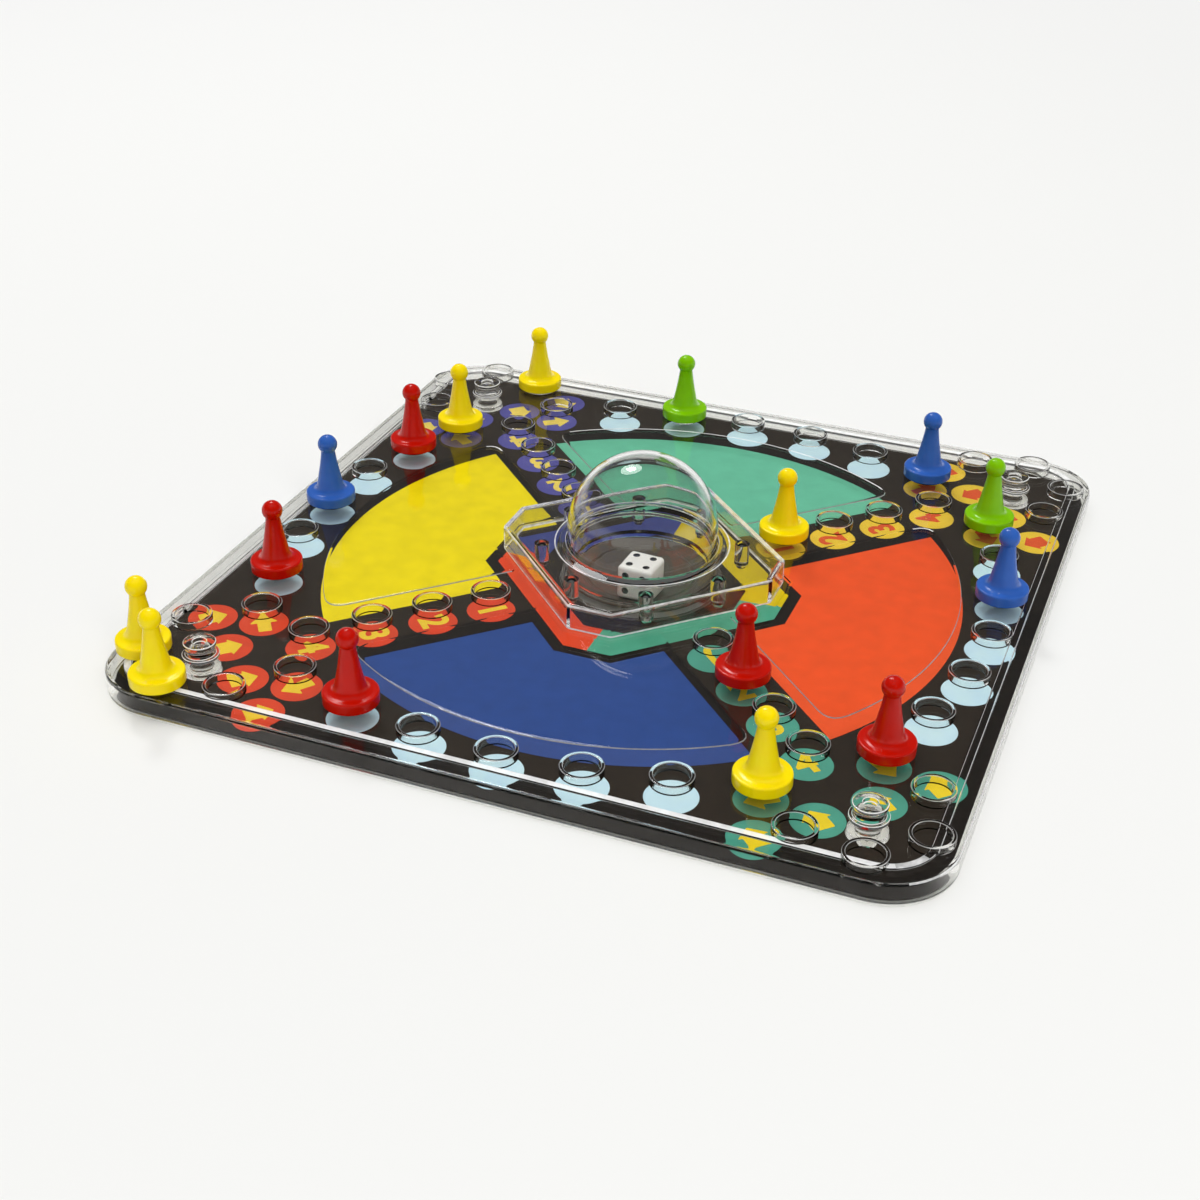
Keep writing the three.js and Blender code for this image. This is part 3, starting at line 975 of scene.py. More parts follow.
@dataclass
class Board:
    """The base sheet, the printed card and the clear shell with its collars.

    The tables of points hold insets from the board's outline, or radii, and heights. The rim gets
    painted highlights by the side that it faces, which lit_share splits, and the bead by how far it
    has turned round a corner, which turn_shares split.
    """

    base_edge: tuple[Point, ...] = ((1.2, 0.0), (0.4, 0.0), (0.4, 1.0), (1.2, 1.0))
    base_rounds: tuple[float, ...] = (0, 0.75, 0.2, 0)
    socket: tuple[Point, ...] = ((5.7, 1.0), (5.7, 3.4), (3.7, 3.4), (3.7, 1.0))
    socket_rounds: tuple[float, ...] = (0, 0.3, 0.2, 0)
    card_levels: Span = (1.2, 1.7)
    card_inset: float = 2.5
    card_hole: float = 27.1
    card_hole_sides: int = 72
    socket_hole: float = 6.0
    skirt_wall: float = 1.6
    skirt_bottom: float = 1.2
    plate_bottom: float = 6.2
    plate_top: float = 7.6
    rim_top: float = 8.0
    rim_round: float = 1.4
    rim_worn: float = 2.1
    bead_top: float = 8.6
    bead_outer: float = 5.6
    bead_inner: float = 7.8
    bead_land: float = 8.4
    edge_rounds: tuple[float, ...] = (0, 0.3, 0.4, 1.3, 0, 0.2, 0.45, 0.45, 0.25, 0)
    collar_outer: float = 6.4
    collar_inner: float = 5.3
    collar_foot: float = 6.9
    collar_top: float = 10.3
    collar_round: float = 0.35
    panel_bevel: tuple[Point, ...] = ((0.0, 0.0), (0.2, 0.28), (0.9, 0.4), (1.1, 0.4))
    panel_reach: float = 104.52
    panel_lane: float = 12.2
    panel_gap: float = 2.0
    panel_round: float = 7.0
    panel_inner_round: float = 1.0
    panel_steps: int = 40
    panel_inner_edge: float = 62.0
    post_hole: float = 3.7
    pin_hole: float = 1.8
    sides: int = 40
    opening_sides: int = 96
    lit_share: float = 0.35
    turn_shares: Span = (0.3, 0.7)
    margin: float = 0.1
    # The faces that these pick get white veils that paint highlight lines, chosen by the way each
    # face turns to the light.
    collar_wear: Worn = Worn(Wear.SCUFFED, 0.25, 0.9)
    lit_rim: Worn = Worn(Wear.WORN, 0.12, 0.9)
    turning_rim: Worn = Worn(Wear.RUBBED, 0.3, 0.8)
    near_bead: Worn = Worn(Wear.WORN, 0.8, 1.1)
    turning_bead: Worn = Worn(Wear.RUBBED, 0.6, 1.1)
    side_bead: Worn = Worn(Wear.WORN, 0.35, 0.85)
    bevel: Worn = Worn(Wear.SCUFFED, 0.25, 0.9)
    far_bevel: Worn = Worn(Wear.WORN, 0.25, 0.995)

    def build_base(self) -> None:
        """Builds the thin clear base with a socket for each post."""
        solid = Solid()
        edge = soften(self.base_edge, self.base_rounds)
        rings = [solid.ring(LAYOUT.outline(inset), height) for inset, height in edge]
        solid.wall(rings)
        solid.sheet(rings[0])
        profile = soften(self.socket, self.socket_rounds, steps=3)
        feet = []
        for place in LAYOUT.post_places():
            walls = solid.column(profile, self.sides, place)
            solid.sheet(walls[-1])
            feet.append(walls[0])
        solid.sheet(rings[-1], feet)
        add_piece(solid.mesh("base_sheet"), [POLISHED_CLEAR], "base_plate")

    def build_card(self) -> None:
        """Builds the card with its cut edges and holes."""
        solid = Solid()
        holes = [circle(ORIGIN, self.card_hole, self.card_hole_sides)]
        holes += [circle(p, self.socket_hole, self.sides) for p in LAYOUT.post_places()]
        solid.slab(LAYOUT.outline(self.card_inset), *self.card_levels, holes)
        add_piece(solid.mesh("printed_sheet"), [CARD_INK], "printed_card")

    def shell_edge(self) -> Loop:
        """Returns the shell's rim as pairs of inset and height, from inside to the field."""
        corners = [
            (self.skirt_wall, self.plate_bottom),
            (self.skirt_wall, self.skirt_bottom),
            (0.0, self.skirt_bottom),
            (0.0, self.rim_top),
            (self.rim_worn, self.rim_top),
            (self.bead_outer, self.rim_top),
            (self.bead_outer, self.bead_top),
            (self.bead_inner, self.bead_top),
            (self.bead_inner, self.plate_top),
            (self.bead_land, self.plate_top),
        ]
        return soften(corners, self.edge_rounds, steps=5)

    def add_panel(self, solid: Solid, quarter: int) -> list[int]:
        """Adds a raised polished panel to the shell.

        Args:
            solid: the shell.
            quarter: the panel's side of the board.

        Returns:
            The numbers of the points round its foot.
        """
        side, end = LAYOUT.housing_side + self.panel_gap, LAYOUT.housing_end + self.panel_gap
        tiers = []
        for inset, rise in self.panel_bevel:
            reach, lane = self.panel_reach - inset, self.panel_lane + inset
            round_tip = self.panel_round - inset
            ends = side + inset, end + inset
            loop = LAYOUT.sector(reach, lane, *ends, self.panel_steps, round_tip)
            radii = [0] * (len(loop) - 4) + [self.panel_inner_round] * 4
            loop = soften(loop, radii, closed=True)
            tiers.append(solid.ring([turned(p, quarter) for p in loop], self.plate_top + rise))
        solid.wall(tiers)
        solid.sheet(tiers[-1])
        return tiers[0]

    def build_shell(self) -> None:
        """Builds the clear shell: skirt, rim, bead, satin field, polished panels and collars."""
        solid = Solid()
        rings = [solid.ring(LAYOUT.outline(inset), z) for inset, z in self.shell_edge()]
        solid.wall(rings)
        bores = [circle(ORIGIN, LAYOUT.opening, self.opening_sides)]
        bores += [circle(p, self.post_hole, self.sides) for p in LAYOUT.post_places()]
        bores += [circle(p, self.pin_hole, self.sides // 2) for p in LAYOUT.pin_places()]
        lower = [solid.ring(loop, self.plate_bottom) for loop in bores]
        upper = [solid.ring(loop, self.plate_top) for loop in bores]
        for low, high in zip(lower, upper):
            solid.wall([low, high])
        solid.sheet(rings[0], lower)
        panels = [self.add_panel(solid, quarter) for quarter in range(4)]
        satin = SHELL_FINISHES.index(SATIN_CLEAR)
        solid.sheet(rings[-1], [*upper, *panels], satin)
        outer, inner, foot = self.collar_outer, self.collar_inner, self.collar_foot
        profile = [(inner, foot), (outer, foot), (outer, self.collar_top)]
        profile += [(inner, self.collar_top), (inner, foot)]
        profile = soften(profile, [0, 0, self.collar_round, self.collar_round, 0])
        collars = Solid()
        for place in LAYOUT.collar_places():
            collars.lathe(profile, self.sides, place)
        bare, rims = solid.mesh("bare_shell"), collars.mesh("collars")
        mesh = combined("clear_shell", bare, rims, Work.JOIN, SHELL_FINISHES[:2])
        smooth(mesh, CREASE)
        # Faces on the collars, rim, bead and bevels get the white veils that paint highlight lines.
        for polygon in mesh.polygons:
            worn = self.worn_at(polygon.center / MM, polygon.normal)
            if worn:
                hit = worn.low < polygon.normal.z < worn.high
                polygon.material_index = worn.wear.value if hit else Wear.CLEAR.value
        add_piece(mesh, SHELL_FINISHES, "board_shell")

    def worn_at(self, centre: Vector, normal: Vector) -> Worn | None:
        """Finds the painted highlight of a face of the shell, by how high, how steep and how far out
        it is.

        Args:
            centre: the face's middle, in millimetres.
            normal: the way it faces.

        Returns:
            Its painted highlight, or None where the face keeps the finish that it was built with.
        """
        straight = LAYOUT.half - LAYOUT.corner
        over = Vector([max(abs(c) - straight, 0) for c in centre.xy])
        # From 0 on the near and far sides, round the corners, to 1 on the left and right ones.
        turn = math.degrees(math.atan2(over.x, over.y)) / 90
        if centre.z > self.bead_top + self.margin:
            return self.collar_wear
        on_rim = over.length > LAYOUT.corner - self.rim_worn
        if on_rim and centre.z > self.rim_top - self.rim_round:
            # Above 0 on the right and far sides of the rim, below 0 on the left and near ones.
            lit = math.copysign(over.x, centre.x) + math.copysign(over.y, centre.y)
            lit /= over.length
            dim_rim = self.turning_rim if lit > -self.lit_share else Worn()
            return self.lit_rim if lit > self.lit_share else dim_rim
        if centre.z > self.rim_top + 2 * self.margin:
            low, high = self.turn_shares
            side_bead = self.turning_bead if turn < high else self.side_bead
            return self.near_bead if turn < low else side_bead
        if centre.xy.length > self.panel_inner_edge:
            bevel = self.far_bevel if normal.y > abs(normal.x) else self.bevel
            return bevel if bevel.low < normal.z < bevel.high else None
        return None

    def build(self) -> None:
        """Builds the base, the card and the shell."""
        self.build_base()
        self.build_card()
        self.build_shell()


@dataclass
class Print:
    """The printing on the card, each ink a thin layer of its own.

    The lifts are shares of a layer: the lowest ink's off the card, and that of the digits' middle.
    """

    card_top: float = 1.7
    layer: float = 0.04
    lift: float = 0.3
    digit_lift: float = 1.9
    space: float = 7.81
    sides: int = 56
    sector: tuple[float, ...] = (105.5, 12.3, 43.84, 52.5)
    sector_steps: int = 48
    border_outer: Span = (39.95, 48.5)
    border_inner: Span = (28.7, 34.0)
    home_row: tuple[Point, ...] = ((76.2, 117.3), (89.8, 103.5), (103.5, 89.8), (117.3, 76.2))
    digit_size: float = 12.69
    digit_weight: float = 0.45
    digit_steps: int = 4
    weld: float = 1e-7
    arrow_turns: Span = (126, 234)
    arrow: tuple[Point, ...] = ((5.2, 0), (0, 4.6), (0, 2.1), (-5.2, 2.1))
    house: tuple[Point, ...] = ((0, 4.7), (-4.8, 0.6), (-3.2, 0.6), (-3.2, -4.1))
    mark_round: float = 0.4
    sectors: tuple[tuple[str, str], ...] = (
        ("blue", "#2F4E94"),
        ("orange_red", "#FF5A26"),
        ("teal", "#70CCAA"),
        ("yellow", "#FFE800"),
    )
    borders: tuple[tuple[str, str], ...] = (
        ("orange_red", "#F9502A"),
        ("teal", "#57B596"),
        ("yellow", "#F0D400"),
        ("blue", "#3A4A9C"),
    )

    def patch(self, name: str, colour: OffsetPrint, loops: Iterable[Loop], level: int = 0) -> None:
        """Adds all the areas of one ink as one piece.

        Args:
            name: the piece's name, without the print in front.
            colour: the ink.
            loops: the outlines of the areas.
            level: 0 on the card, 1 over another ink.
        """
        solid = Solid()
        bottom = self.card_top + self.layer * (level + self.lift)
        for loop in loops:
            solid.slab(loop, bottom, bottom + self.layer)
        add_piece(solid.mesh("print_" + name), [colour])

    def border_side(self, octagon: Loop, quarter: int) -> Loop:
        """Returns a quarter of an octagon, from the middle of a long side to the next one's."""
        a, b, c, d = (Vector(octagon[(2 * quarter - 2 + k) % 8]) for k in range(4))
        return [tuple(p) for p in ((a + b) / 2, b, c, (c + d) / 2)]

    def build_fields(self) -> None:
        """Prints the four big sectors and the coloured border round the popper."""
        loop = LAYOUT.sector(*self.sector, self.sector_steps)
        for quarter, (name, colour) in enumerate(self.sectors):
            near = [turned(p, quarter) for p in loop]
            self.patch(f"sector_{name}", ink("sector_" + name, colour), [near])
        outer, inner = LAYOUT.octagon(*self.border_outer), LAYOUT.octagon(*self.border_inner)
        for quarter, (name, colour) in enumerate(self.borders):
            band = self.border_side(outer, quarter) + self.border_side(inner, quarter)[::-1]
            self.patch(f"border_{name}", ink("border_" + name, colour), [band])

    def digit(self, text: str, place: Point, degrees: float) -> Mesh:
        """Makes a bold digit, upright along a direction.

        Args:
            text: the digit.
            place: its middle.
            degrees: how far it is turned.

        Returns:
            Its thin mesh, in metres.
        """
        curve = bpy.data.curves.new("digit", "FONT")
        curve.body = text
        curve.size = self.digit_size * MM
        curve.offset = self.digit_weight * MM
        curve.extrude = self.layer * MM / 2
        curve.resolution_u = self.digit_steps
        curve.align_x = "CENTER"
        curve.align_y = "CENTER"
        holder = new_object("digit", curve)
        mesh = evaluated_mesh(holder)
        bpy.data.objects.remove(holder)
        height = self.card_top + self.layer * self.digit_lift
        turn = Matrix.Rotation(math.radians(degrees), 4, "Z")
        mesh.transform(Matrix.Translation(Vector((*place, height)) * MM) @ turn)
        return mesh

    def build_corner(self, corner: Corner) -> None:
        """Prints the ten spaces of a corner with their marks.

        Args:
            corner: the corner, whose colours and turn are used.
        """
        quarter, disc, mark = corner.value
        name = corner.name.lower()
        a, b = LAYOUT.track[3]
        entries, homes = [(-b, -a), (-a, -b)], [(-x, -y) for x, y in self.home_row]
        lane = [(-d, -d) for d in LAYOUT.lane]
        spaces = [*entries[::-1], *homes, *lane]
        spots = [circle(turned(p, quarter), self.space, self.sides) for p in spaces]
        self.patch(f"spaces_{name}", ink("spaces_" + name, disc), spots)
        arrow = [*self.arrow, *[(x, -y) for x, y in self.arrow[:0:-1]]]
        house = [*self.house, *[(-x, y) for x, y in self.house[:0:-1]]]
        signs = [(arrow, p, t) for p, t in zip(entries, self.arrow_turns)]
        signs += [(house, p, -45) for p in homes]
        marks = []
        for shape, place, degrees in signs:
            shape = soften(shape, [self.mark_round], steps=2, closed=True)
            marks.append(placed(shape, turned(place, quarter), degrees + 90 * quarter))
        mark_ink = ink("marks_" + name, mark)
        self.patch(f"marks_{name}", mark_ink, marks, 1)
        joined = bmesh.new()
        for number, place in enumerate(lane, 1):
            mesh = self.digit(str(number), turned(place, quarter), 90 * quarter - 45)
            joined.from_mesh(mesh)
            bpy.data.meshes.remove(mesh)
        bmesh.ops.remove_doubles(joined, verts=joined.verts, dist=self.weld)
        digits = bpy.data.meshes.new(f"print_digits_{name}")
        joined.to_mesh(digits)
        joined.free()
        add_piece(digits, [mark_ink])

    def build(self) -> None:
        """Prints the fields, the track and the corners."""
        self.build_fields()
        places = LAYOUT.all_round(LAYOUT.track[:3])
        self.patch("track", TRACK_INK, [circle(p, self.space, self.sides) for p in places])
        for corner in Corner:
            self.build_corner(corner)


@dataclass
class CornerPosts:
    """The four turned pillars that hold the shell down on the base.

    The profile holds the radius and height of each corner, from the foot to the dimple on top.
    """

    profile: tuple[Point, ...] = (
        *((0, 1.2), (3.4, 1.2), (3.4, 7.8), (5.7, 7.8), (5.7, 8.9), (4.6, 8.9)),
        *((4.6, 11.8), (5.0, 11.8), (5.0, 13.0), (2.1, 13.0), (2.1, 11.5), (0, 11.5)),
    )
    rounds: tuple[float, ...] = (0, 0.4, 0.2, 0.2, 0.35, 0.3, 0.3, 0.25, 0.45, 0.35, 0.5, 0)
    # The faces between these shares of upright get a white veil that paints a highlight.
    worn: Span = (0.15, 0.95)
    sides: int = 64

    def build(self) -> None:
        """Builds the posts on their places, with painted highlights on their rounded upper edges."""
        low, high = self.worn
        for number, (x, y) in enumerate(LAYOUT.post_places(), 1):
            solid = Solid().lathe(soften(self.profile, self.rounds), self.sides)
            mesh = solid.mesh(f"corner_pillar_{number}")
            for polygon in mesh.polygons:
                polygon.material_index = int(low < polygon.normal.z < high)
            finishes, place = [POLISHED_CLEAR, STRONG_HIGHLIGHT_CLEAR], Vector((x, y, 0)) * MM
            add_piece(mesh, finishes, f"corner_post_{number}", place=place)


@dataclass
class Popper:
    """The housing, the bubble, the plate under the die and the spring's ring.

    The tables of points hold radii and heights.
    """

    bottom: float = 7.8
    crown: float = 16.6
    ceiling: float = 15.2
    wall: float = 1.5
    foot_band: float = 0.7
    outer_rounds: tuple[float, ...] = (0, 0.3, 0, 1.5, 0)
    inner_rounds: tuple[float, ...] = (0, 0.8, 0)
    crown_land: float = 2.4
    ceiling_land: float = 3.0
    tip_round: float = 2.2
    least_round: float = 0.7
    land_outer: float = 28.5
    land_crown: float = 26.4
    land_top: float = 17.4
    land_foot: float = 0.4
    land_rounds: tuple[float, ...] = (0, 0.3, 0.5, 0.35, 0)
    level_slack: float = 0.01
    boss: float = 2.4
    boss_sides: int = 32
    pin: float = 1.5
    pin_end: float = 5.6
    pin_rounds: tuple[float, ...] = (0, 0.25, 0.1, 0)
    # Bands of faces that get the white veil that paints highlight lines on the housing.
    opening_worn: Span = (0.2, 0.95)
    land_worn: float = 0.25
    edge_worn: Span = (0.35, 0.85)
    edge_lean: float = 0.15
    dome: float = 24.6
    dome_wall: float = 1.3
    dome_bottom: float = 5.1
    dome_join: float = 21.7
    dome_centre: float = 22.7
    dome_steps: int = 36
    flange: float = 27.0
    flange_bottom: float = 13.8
    flange_top: float = 15.0
    dome_rounds: tuple[float, ...] = (0, 0.3, 0.3, 0.4, 0.3, 0.3, 0.4, 0)
    plate: tuple[Point, ...] = (
        *((0, 3.9), (24.9, 3.9), (24.9, 4.9), (18.2, 4.9)),
        *((17.8, 4.6), (17.2, 4.6), (16.8, 4.9), (0, 4.9)),
    )
    plate_rounds: tuple[float, ...] = (0, 0.25, 0.25, 0.2, 0.2, 0.2, 0.2, 0)
    cradle: tuple[Point, ...] = ((25.4, 1.2), (26.8, 1.2), (26.8, 2.4), (25.4, 2.4), (25.4, 1.2))
    cradle_rounds: tuple[float, ...] = (0, 0.1, 0.25, 0.25, 0)
    sides: int = 112

    def housing_ring(self, solid: Solid, inset: float, height: float) -> list[int]:
        """Adds the housing's outline at a height.

        Args:
            solid: the housing.
            inset: how far the outline is moved in.
            height: its height.

        Returns:
            The numbers of its points.
        """
        loop = LAYOUT.octagon(LAYOUT.housing_side - inset, LAYOUT.housing_end - inset)
        tip_round = max(self.tip_round - inset, self.least_round)
        return solid.ring(soften(loop, [tip_round], steps=5, closed=True), height)

    def build_housing(self) -> None:
        """Builds the hollow eight-sided cover with its ring, bosses and pins."""
        solid = Solid()
        foot = self.bottom + self.foot_band
        corners = [(self.wall, self.bottom), (0, self.bottom), (0, foot), (0, self.crown)]
        outside = soften([*corners, (self.crown_land, self.crown)], self.outer_rounds, steps=5)
        outer = [self.housing_ring(solid, inset, height) for inset, height in outside]
        solid.wall(outer)
        corners = [(self.wall, self.bottom), (self.wall, self.ceiling)]
        inside = soften([*corners, (self.ceiling_land, self.ceiling)], self.inner_rounds)[1:]
        inner = [self.housing_ring(solid, inset, height) for inset, height in inside]
        solid.wall([outer[0], *inner])
        corners = [
            (self.land_outer + self.land_foot, self.crown),
            (self.land_outer, self.crown),
            (self.land_crown, self.land_top),
            (LAYOUT.opening, self.land_top),
            (LAYOUT.opening, self.ceiling),
        ]
        rings = solid.column(soften(corners, self.land_rounds), self.sides)
        solid.sheet(outer[-1], [rings[0]])
        corners = [(self.boss, self.ceiling), (self.boss, self.bottom)]
        corners += [(self.pin, self.bottom), (self.pin, self.pin_end)]
        bosses = []
        for place in LAYOUT.pin_places():
            tiers = solid.column(soften(corners, self.pin_rounds, steps=3), self.boss_sides, place)
            solid.sheet(tiers[-1])
            bosses.append(tiers[0])
        solid.sheet(inner[-1], [rings[-1], *bosses])
        mesh = solid.mesh("popper_cover")
        # Faces at the foot, the opening, the ring and the near edges get a white veil as a painted
        # highlight.
        for polygon in mesh.polygons:
            polygon.material_index = int(self.is_worn(polygon.center / MM, polygon.normal))
        add_piece(mesh, [COVER_CLEAR, EDGE_HIGHLIGHT_CLEAR], "popper_housing")

    def is_worn(self, centre: Vector, normal: Vector) -> bool:
        """Tells whether a face of the housing lies on an edge that gets a painted highlight.

        Args:
            centre: the face's middle, in millimetres.
            normal: the way it faces.

        Returns:
            Whether it does.
        """
        away = centre.xy.length
        outside = away > LAYOUT.pin_orbit + self.boss
        at_foot = outside and centre.z < self.bottom + self.foot_band
        by_opening = away < LAYOUT.opening + self.land_foot
        at_opening = by_opening and self.opening_worn[0] < normal.z < self.opening_worn[1]
        on_top = centre.z > self.crown - self.level_slack
        at_land = on_top and abs(away - self.land_outer) < self.land_worn
        faces_near = normal.y < -self.edge_lean
        near_edge = faces_near and self.edge_worn[0] < normal.z < self.edge_worn[1]
        return at_foot or at_opening or at_land or near_edge

    def build_dome(self) -> None:
        """Builds the thin clear bubble with its flange."""
        dome, inner = self.dome, self.dome - self.dome_wall
        corners = [(inner, self.flange_bottom), (inner, self.dome_bottom)]
        corners += [(dome, self.dome_bottom), (dome, self.flange_bottom)]
        corners += [(self.flange, self.flange_bottom), (self.flange, self.flange_top)]
        corners += [(dome, self.flange_top), (dome, self.dome_join)]
        centre = (0, self.dome_centre)
        profile = [
            (0, self.dome_centre + inner),
            *arc(centre, inner, 90, 0, self.dome_steps)[1:],
            *soften(corners, self.dome_rounds),
            *arc(centre, dome, 0, 90, self.dome_steps)[:-1],
            (0, self.dome_centre + dome),
        ]
        mesh = Solid().lathe(profile, self.sides).mesh("bubble", BALL_CREASE)
        add_piece(mesh, [BUBBLE_CLEAR], "dome", "popper")

    def build_floor(self) -> None:
        """Builds the lacquered plate under the die and the ring round its spring."""
        plate = Solid().lathe(soften(self.plate, self.plate_rounds, steps=3), self.sides)
        add_piece(plate.mesh("die_floor"), [DIE_PLATE_LACQUER], "die_plate", "popper")
        ring = Solid().lathe(soften(self.cradle, self.cradle_rounds, steps=3), self.sides)
        add_piece(ring.mesh("spring_ring"), [CRADLE_ABS], "spring_cradle")

    def build(self) -> None:
        """Builds the popper from the housing inwards."""
        self.build_housing()
        self.build_dome()
        self.build_floor()


@dataclass
class Spring:
    """The bowed steel strip under the die's plate.

    It is highest in the middle, by its bow, and the slack is what is left of the bow at full press.
    """

    seat: float = 1.2
    reach: float = 24.37
    width: float = 12.0
    sheet: float = 0.3
    bow: float = 2.2
    slack: float = 0.2
    corner: float = 2.0
    corner_steps: int = 5
    edge_round: float = 0.1
    steps: int = 32

    def build(self) -> None:
        """Builds the strip at its full bow."""
        half, straight = self.width / 2, self.reach - self.corner
        end = arc((straight, half - self.corner), self.corner, 0, 90, self.corner_steps)
        plan = [*end[:-1], (straight, half)]
        plan += [(straight * (1 - 2 * i / self.steps), half) for i in range(1, self.steps)]
        plan += [(-x, y) for x, y in reversed(end)]
        solid = Solid()
        rings = []
        for x, y in plan:
            low = self.seat + self.bow * (1 - (x / self.reach) ** 2)
            top = low + self.sheet
            section = [(-y, low), (y, low), (y, top), (-y, top)]
            section = soften(section, [self.edge_round], steps=2, closed=True)
            rings.append(solid.ring(section, x))
        solid.wall(rings)
        solid.sheet(rings[0])
        solid.sheet(rings[-1])
        mesh = solid.mesh("spring_strip")
        # The strip was drawn upright, and this lays it along X.
        mesh.transform(Matrix(((0, 0, 1, 0), (1, 0, 0, 0), (0, 1, 0, 0), (0, 0, 0, 1))))
        strip = add_piece(mesh, [SPRING_STEEL], "snap_spring")
        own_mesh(strip)


@dataclass
class Die:
    """The white die with hollowed and painted pips.

    Each face is the way that it faces and its pips, as steps along and across it. A ball hollows
    each pip, and its slack takes in the faces that the cut leaves a little outside the ball.
    """

    side: float = 11.8
    edge_round: float = 1.3
    edge_steps: int = 5
    crease: float = 30.0
    turn: float = -3.0
    pip_radius: float = 1.15
    pip_depth: float = 0.5
    pip_spread: float = 2.9
    ball_steps: int = 4
    ball_slack: float = 1.01
    faces: tuple[tuple[Place, tuple[Point, ...]], ...] = (
        ((0, 0, 1), ((-1, -1), (-1, 1), (1, -1), (1, 1))),
        ((0, 0, -1), ((-1, -1), (0, 0), (1, 1))),
        ((0, -1, 0), ((-1, -1), (-1, 1), (0, 0), (1, -1), (1, 1))),
        ((0, 1, 0), ((-1, -1), (1, 1))),
        ((1, 0, 0), ((0, 0),)),
        ((-1, 0, 0), ((-1, -1), (-1, 0), (-1, 1), (1, -1), (1, 0), (1, 1))),
    )

    def pip_centres(self, ball: float) -> list[Vector]:
        """Places the balls that hollow the pips.

        Args:
            ball: the radius of the balls.

        Returns:
            Their centres.
        """
        centres = []
        for normal, pips in self.faces:
            up = Vector(normal)
            side = Vector((1, 0, 0)) if up.y else Vector((0, 1, 0))
            across = up.cross(side)
            out = self.side / 2 + ball - self.pip_depth
            for u, v in pips:
                centres.append(up * out + (side * v + across * -u) * self.pip_spread)
        return centres

    def build(self) -> None:
        """Builds the die where the CAD die lies."""
        base, cutter = bpy.data.meshes.new("die_blank"), bpy.data.meshes.new("pip_balls")
        cube = bmesh.new()
        bmesh.ops.create_cube(cube, size=self.side * MM)
        bevel = {"offset": self.edge_round * MM, "segments": self.edge_steps, "profile": 0.5}
        bmesh.ops.bevel(cube, geom=cube.edges[:], affect="EDGES", **bevel)
        cube.to_mesh(base)
        cube.free()
        ball = (self.pip_radius**2 + self.pip_depth**2) / (2 * self.pip_depth)
        centres = self.pip_centres(ball)
        balls = bmesh.new()
        for centre in centres:
            place = Matrix.Translation(centre * MM)
            shape = {"subdivisions": self.ball_steps, "radius": ball * MM}
            bmesh.ops.create_icosphere(balls, matrix=place, **shape)
        balls.to_mesh(cutter)
        balls.free()
        finishes = [DIE_WHITE, PIP_PAINT]
        mesh = combined("number_die", base, cutter, Work.CUT, finishes)
        for polygon in mesh.polygons:
            centre = min(centres, key=lambda c: (polygon.center / MM - c).length)
            reach = max((mesh.vertices[v].co / MM - centre).length for v in polygon.vertices)
            polygon.material_index = int(reach < ball * self.ball_slack)
        smooth(mesh, self.crease)
        mesh.transform(Matrix.Rotation(math.radians(self.turn), 4, "Z"))
        low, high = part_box("die")
        add_piece(mesh, finishes, "die", "die", (low + high) / 2)


@dataclass
class Pegs:
    """The sixteen playing pieces, each over the collar of its space.

    The tables hold the radius and height of each corner, from the hollow that cups the collar.
    """

    foot: tuple[Point, ...] = ((0, 1.7), (6.7, 1.7), (6.7, 0), (8.45, 0), (8.45, 3.65), (7.0, 3.72))
    foot_rounds: tuple[float, ...] = (0, 0.3, 0.2, 0.3, 1.15, 0)
    waist: tuple[Point, ...] = (
        *((6.1, 3.86), (5.25, 4.3), (4.8, 5.0), (4.5, 6.2), (4.1, 8.2)),
        *((3.62, 10.7), (3.1, 13.4), (2.68, 16.1), (2.42, 18.0)),
    )
    head: float = 3.35
    head_centre: float = 21.15
    head_steps: int = 18
    neck: float = 2.4
    sides: int = 72

    def build(self) -> None:
        """Builds every peg where its CAD node stands."""
        start = -math.degrees(math.acos(self.neck / self.head))
        ball = arc((0, self.head_centre), self.head, start, 90, self.head_steps)[:-1]
        foot = soften(self.foot, self.foot_rounds, steps=6)
        profile = [*foot, *self.waist, *ball, (0, self.head_centre + self.head)]
        for team in Team:
            colour = team.name.lower()
            finish = GlossyPolystyrene(f"polystyrene_{colour}_polished", *team.value)
            for node in sorted(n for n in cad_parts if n.startswith(f"{colour}_peg_")):
                low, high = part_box(node)
                place = Vector(((low.x + high.x) / 2, (low.y + high.y) / 2, low.z))
                name = node.replace("_peg_", "_pawn_")
                mesh = Solid().lathe(profile, self.sides).mesh(name, BALL_CREASE)
                add_piece(mesh, [finish], node, node, place)


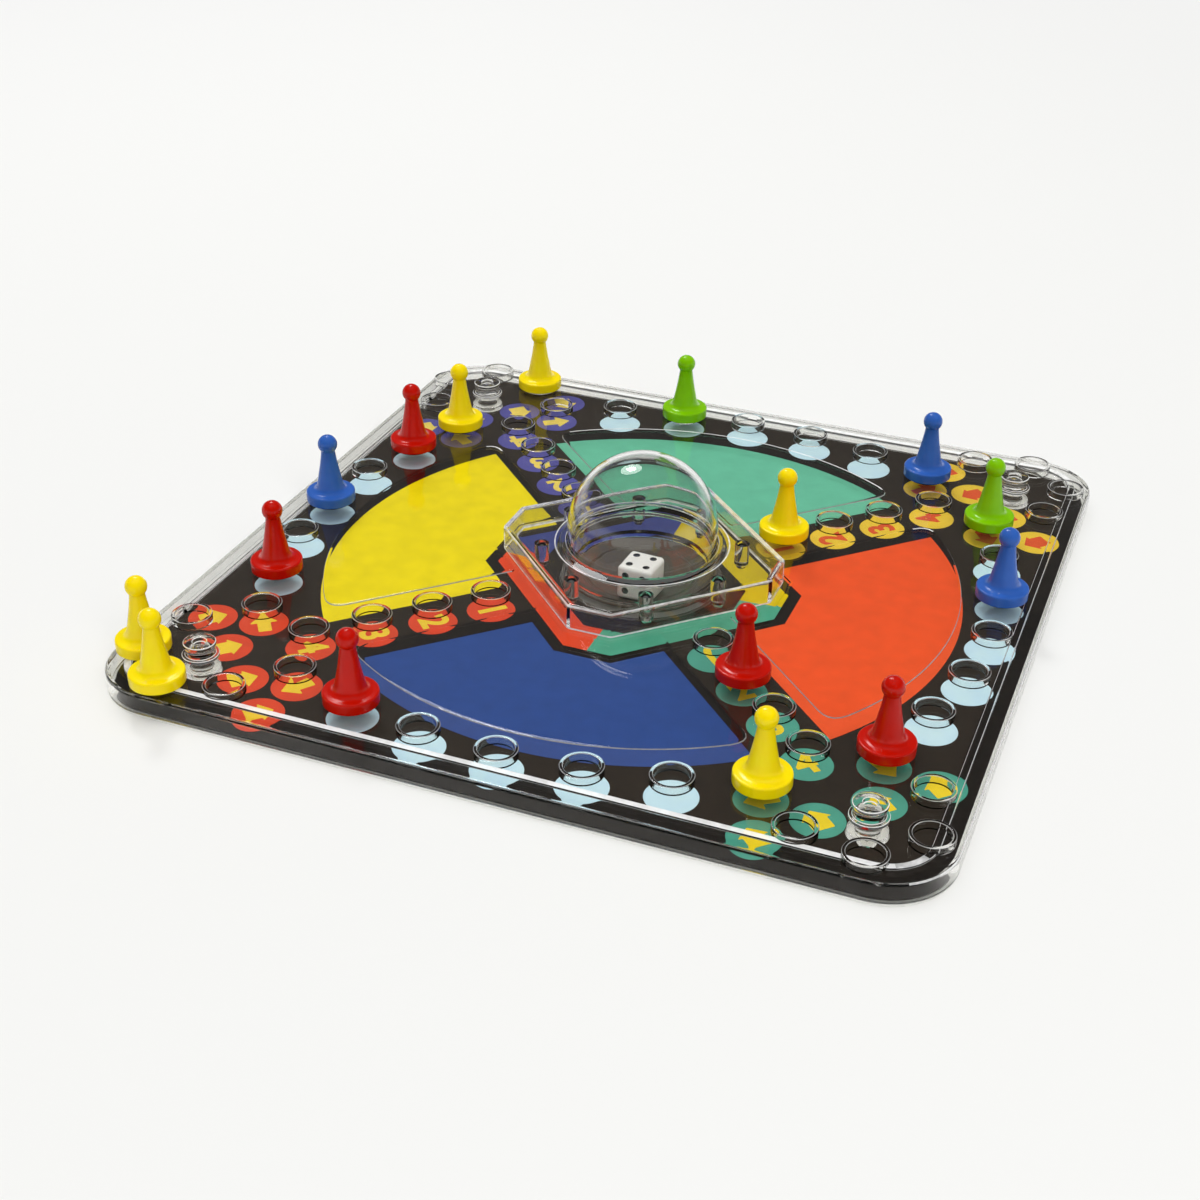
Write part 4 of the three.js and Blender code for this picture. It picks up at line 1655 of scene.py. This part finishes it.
@dataclass
class Studio:
    """The pale table, the soft lights and the camera.

    The horizon and the ceiling hold where each starts and ends, as shares of the way up, and how
    bright the room is at both.
    """

    eye: Place = (0.17528, -0.48984, 0.30500)
    right: Place = (0.92954, 0.36851, 0.01284)
    down: Place = (0.19939, -0.47304, -0.85818)
    ahead: Place = (-0.31017, 0.80027, -0.51318)
    focal_pixels: float = 1809.45
    frame_pixels: float = 1200.0
    sensor_mm: float = 36.0
    nearest: float = 0.01
    table_reach: float = 40.0
    horizon: tuple[float, ...] = (0.06, 0.24, 0.93, 0.1)
    ceiling: tuple[float, ...] = (0.7, 0.98, 0.0, 2.45)
    lamps: tuple[tuple[str, Place, float, float, Lit], ...] = (
        ("side", (-0.62, 0.70, 1.25), 0.26, 3.8, Lit.ALL),
        ("side_halo", (-0.62, 0.70, 1.25), 0.6, 6.5, Lit.SHINY),
        ("front", (1.05, -1.19, 1.19), 0.84, 8.0, Lit.MATTE),
    )

    def build_camera(self) -> None:
        """Sets the camera at the photograph's viewing angle."""
        data = bpy.data.cameras.new("view")
        data.sensor_width = self.sensor_mm
        data.lens = self.focal_pixels / self.frame_pixels * self.sensor_mm
        data.clip_start = self.nearest
        camera = new_object("view", data)
        columns = (Vector(self.right), -Vector(self.down), -Vector(self.ahead))
        turn = Matrix(columns).transposed()
        camera.matrix_world = Matrix.Translation(self.eye) @ turn.to_4x4()
        bpy.context.scene.camera = camera

    def build_table(self) -> None:
        """Lays the pale floor."""
        reach = self.table_reach
        corners = [(*turned((-reach, -reach), q), 0) for q in range(4)]
        mesh = bpy.data.meshes.new("table")
        mesh.from_pydata(corners, [], [(0, 1, 2, 3)])
        mesh.materials.append(Backdrop("matte_white_table").material())
        new_object("table", mesh)

    def build_light(self, name: str, place: Place, size: float, power: float, lit: Lit) -> None:
        """Hangs a soft round lamp that looks at the board.

        Args:
            name: the lamp's name.
            place: where it hangs, in metres.
            size: how wide it is, in metres.
            power: its power in watts.
            lit: the surfaces that it lights.
        """
        data = bpy.data.lights.new(name, "AREA")
        data.shape = "DISK"
        data.size = size
        data.energy = power
        lamp = new_object(name, data)
        lamp.visible_transmission = False
        lamp.visible_diffuse = lit is not Lit.SHINY
        lamp.visible_glossy = lit is not Lit.MATTE
        lamp.location = place
        lamp.rotation_euler = (-Vector(place)).to_track_quat("-Z", "Y").to_euler()

    def build_world(self) -> None:
        """Surrounds the scene with a pale horizon, dim walls and a soft ceiling.

        Shiny and clear surfaces don't show the ceiling, so that no bright disc lies in the bubble.
        """
        world = bpy.data.worlds.new("studio")
        world.use_nodes = True
        tree = world.node_tree
        tree.nodes.clear()
        direction = add_node(tree, "TexCoord").outputs["Generated"]
        rise = add_node(tree, "SeparateXYZ", inputs={0: direction}).outputs["Z"]
        levels = []
        for band in (self.horizon, self.ceiling):
            inputs = {"Value": rise, "From Min": band[0], "From Max": band[1]}
            inputs |= {"To Min": band[2], "To Max": band[3]}
            level = add_node(tree, "MapRange", {"interpolation_type": "SMOOTHSTEP"}, inputs)
            levels.append(level.outputs[0])
        path = add_node(tree, "LightPath").outputs
        inputs = {0: path["Is Glossy Ray"], 1: path["Is Transmission Ray"]}
        mirrored = add_node(tree, "Math", {"operation": "MAXIMUM"}, inputs).outputs[0]
        shown = add_node(tree, "Math", {"operation": "SUBTRACT"}, {0: 1.0, 1: mirrored}).outputs[0]
        inputs = {0: levels[1], 1: shown, 2: levels[0]}
        strength = add_node(tree, "Math", {"operation": "MULTIPLY_ADD"}, inputs).outputs[0]
        inputs = {"Color": linear("#FFFFFF"), "Strength": strength}
        light = add_node(tree, "Background", inputs=inputs)
        add_node(tree, "OutputWorld", inputs={"Surface": light.outputs[0]})
        bpy.context.scene.world = world

    def build(self) -> None:
        """Builds the studio round the board."""
        self.build_camera()
        self.build_table()
        self.build_world()
        for lamp in self.lamps:
            self.build_light(*lamp)
        bpy.context.scene.view_settings.view_transform = "Standard"


def main() -> None:
    """Builds the studio and the game's sub-assemblies in order."""
    logging.basicConfig(level=logging.INFO, format="%(message)s")
    for assembly in (Studio, Board, Print, CornerPosts, Popper, Spring, Die, Pegs):
        assembly().build()


if __name__ == "__main__":
    main()
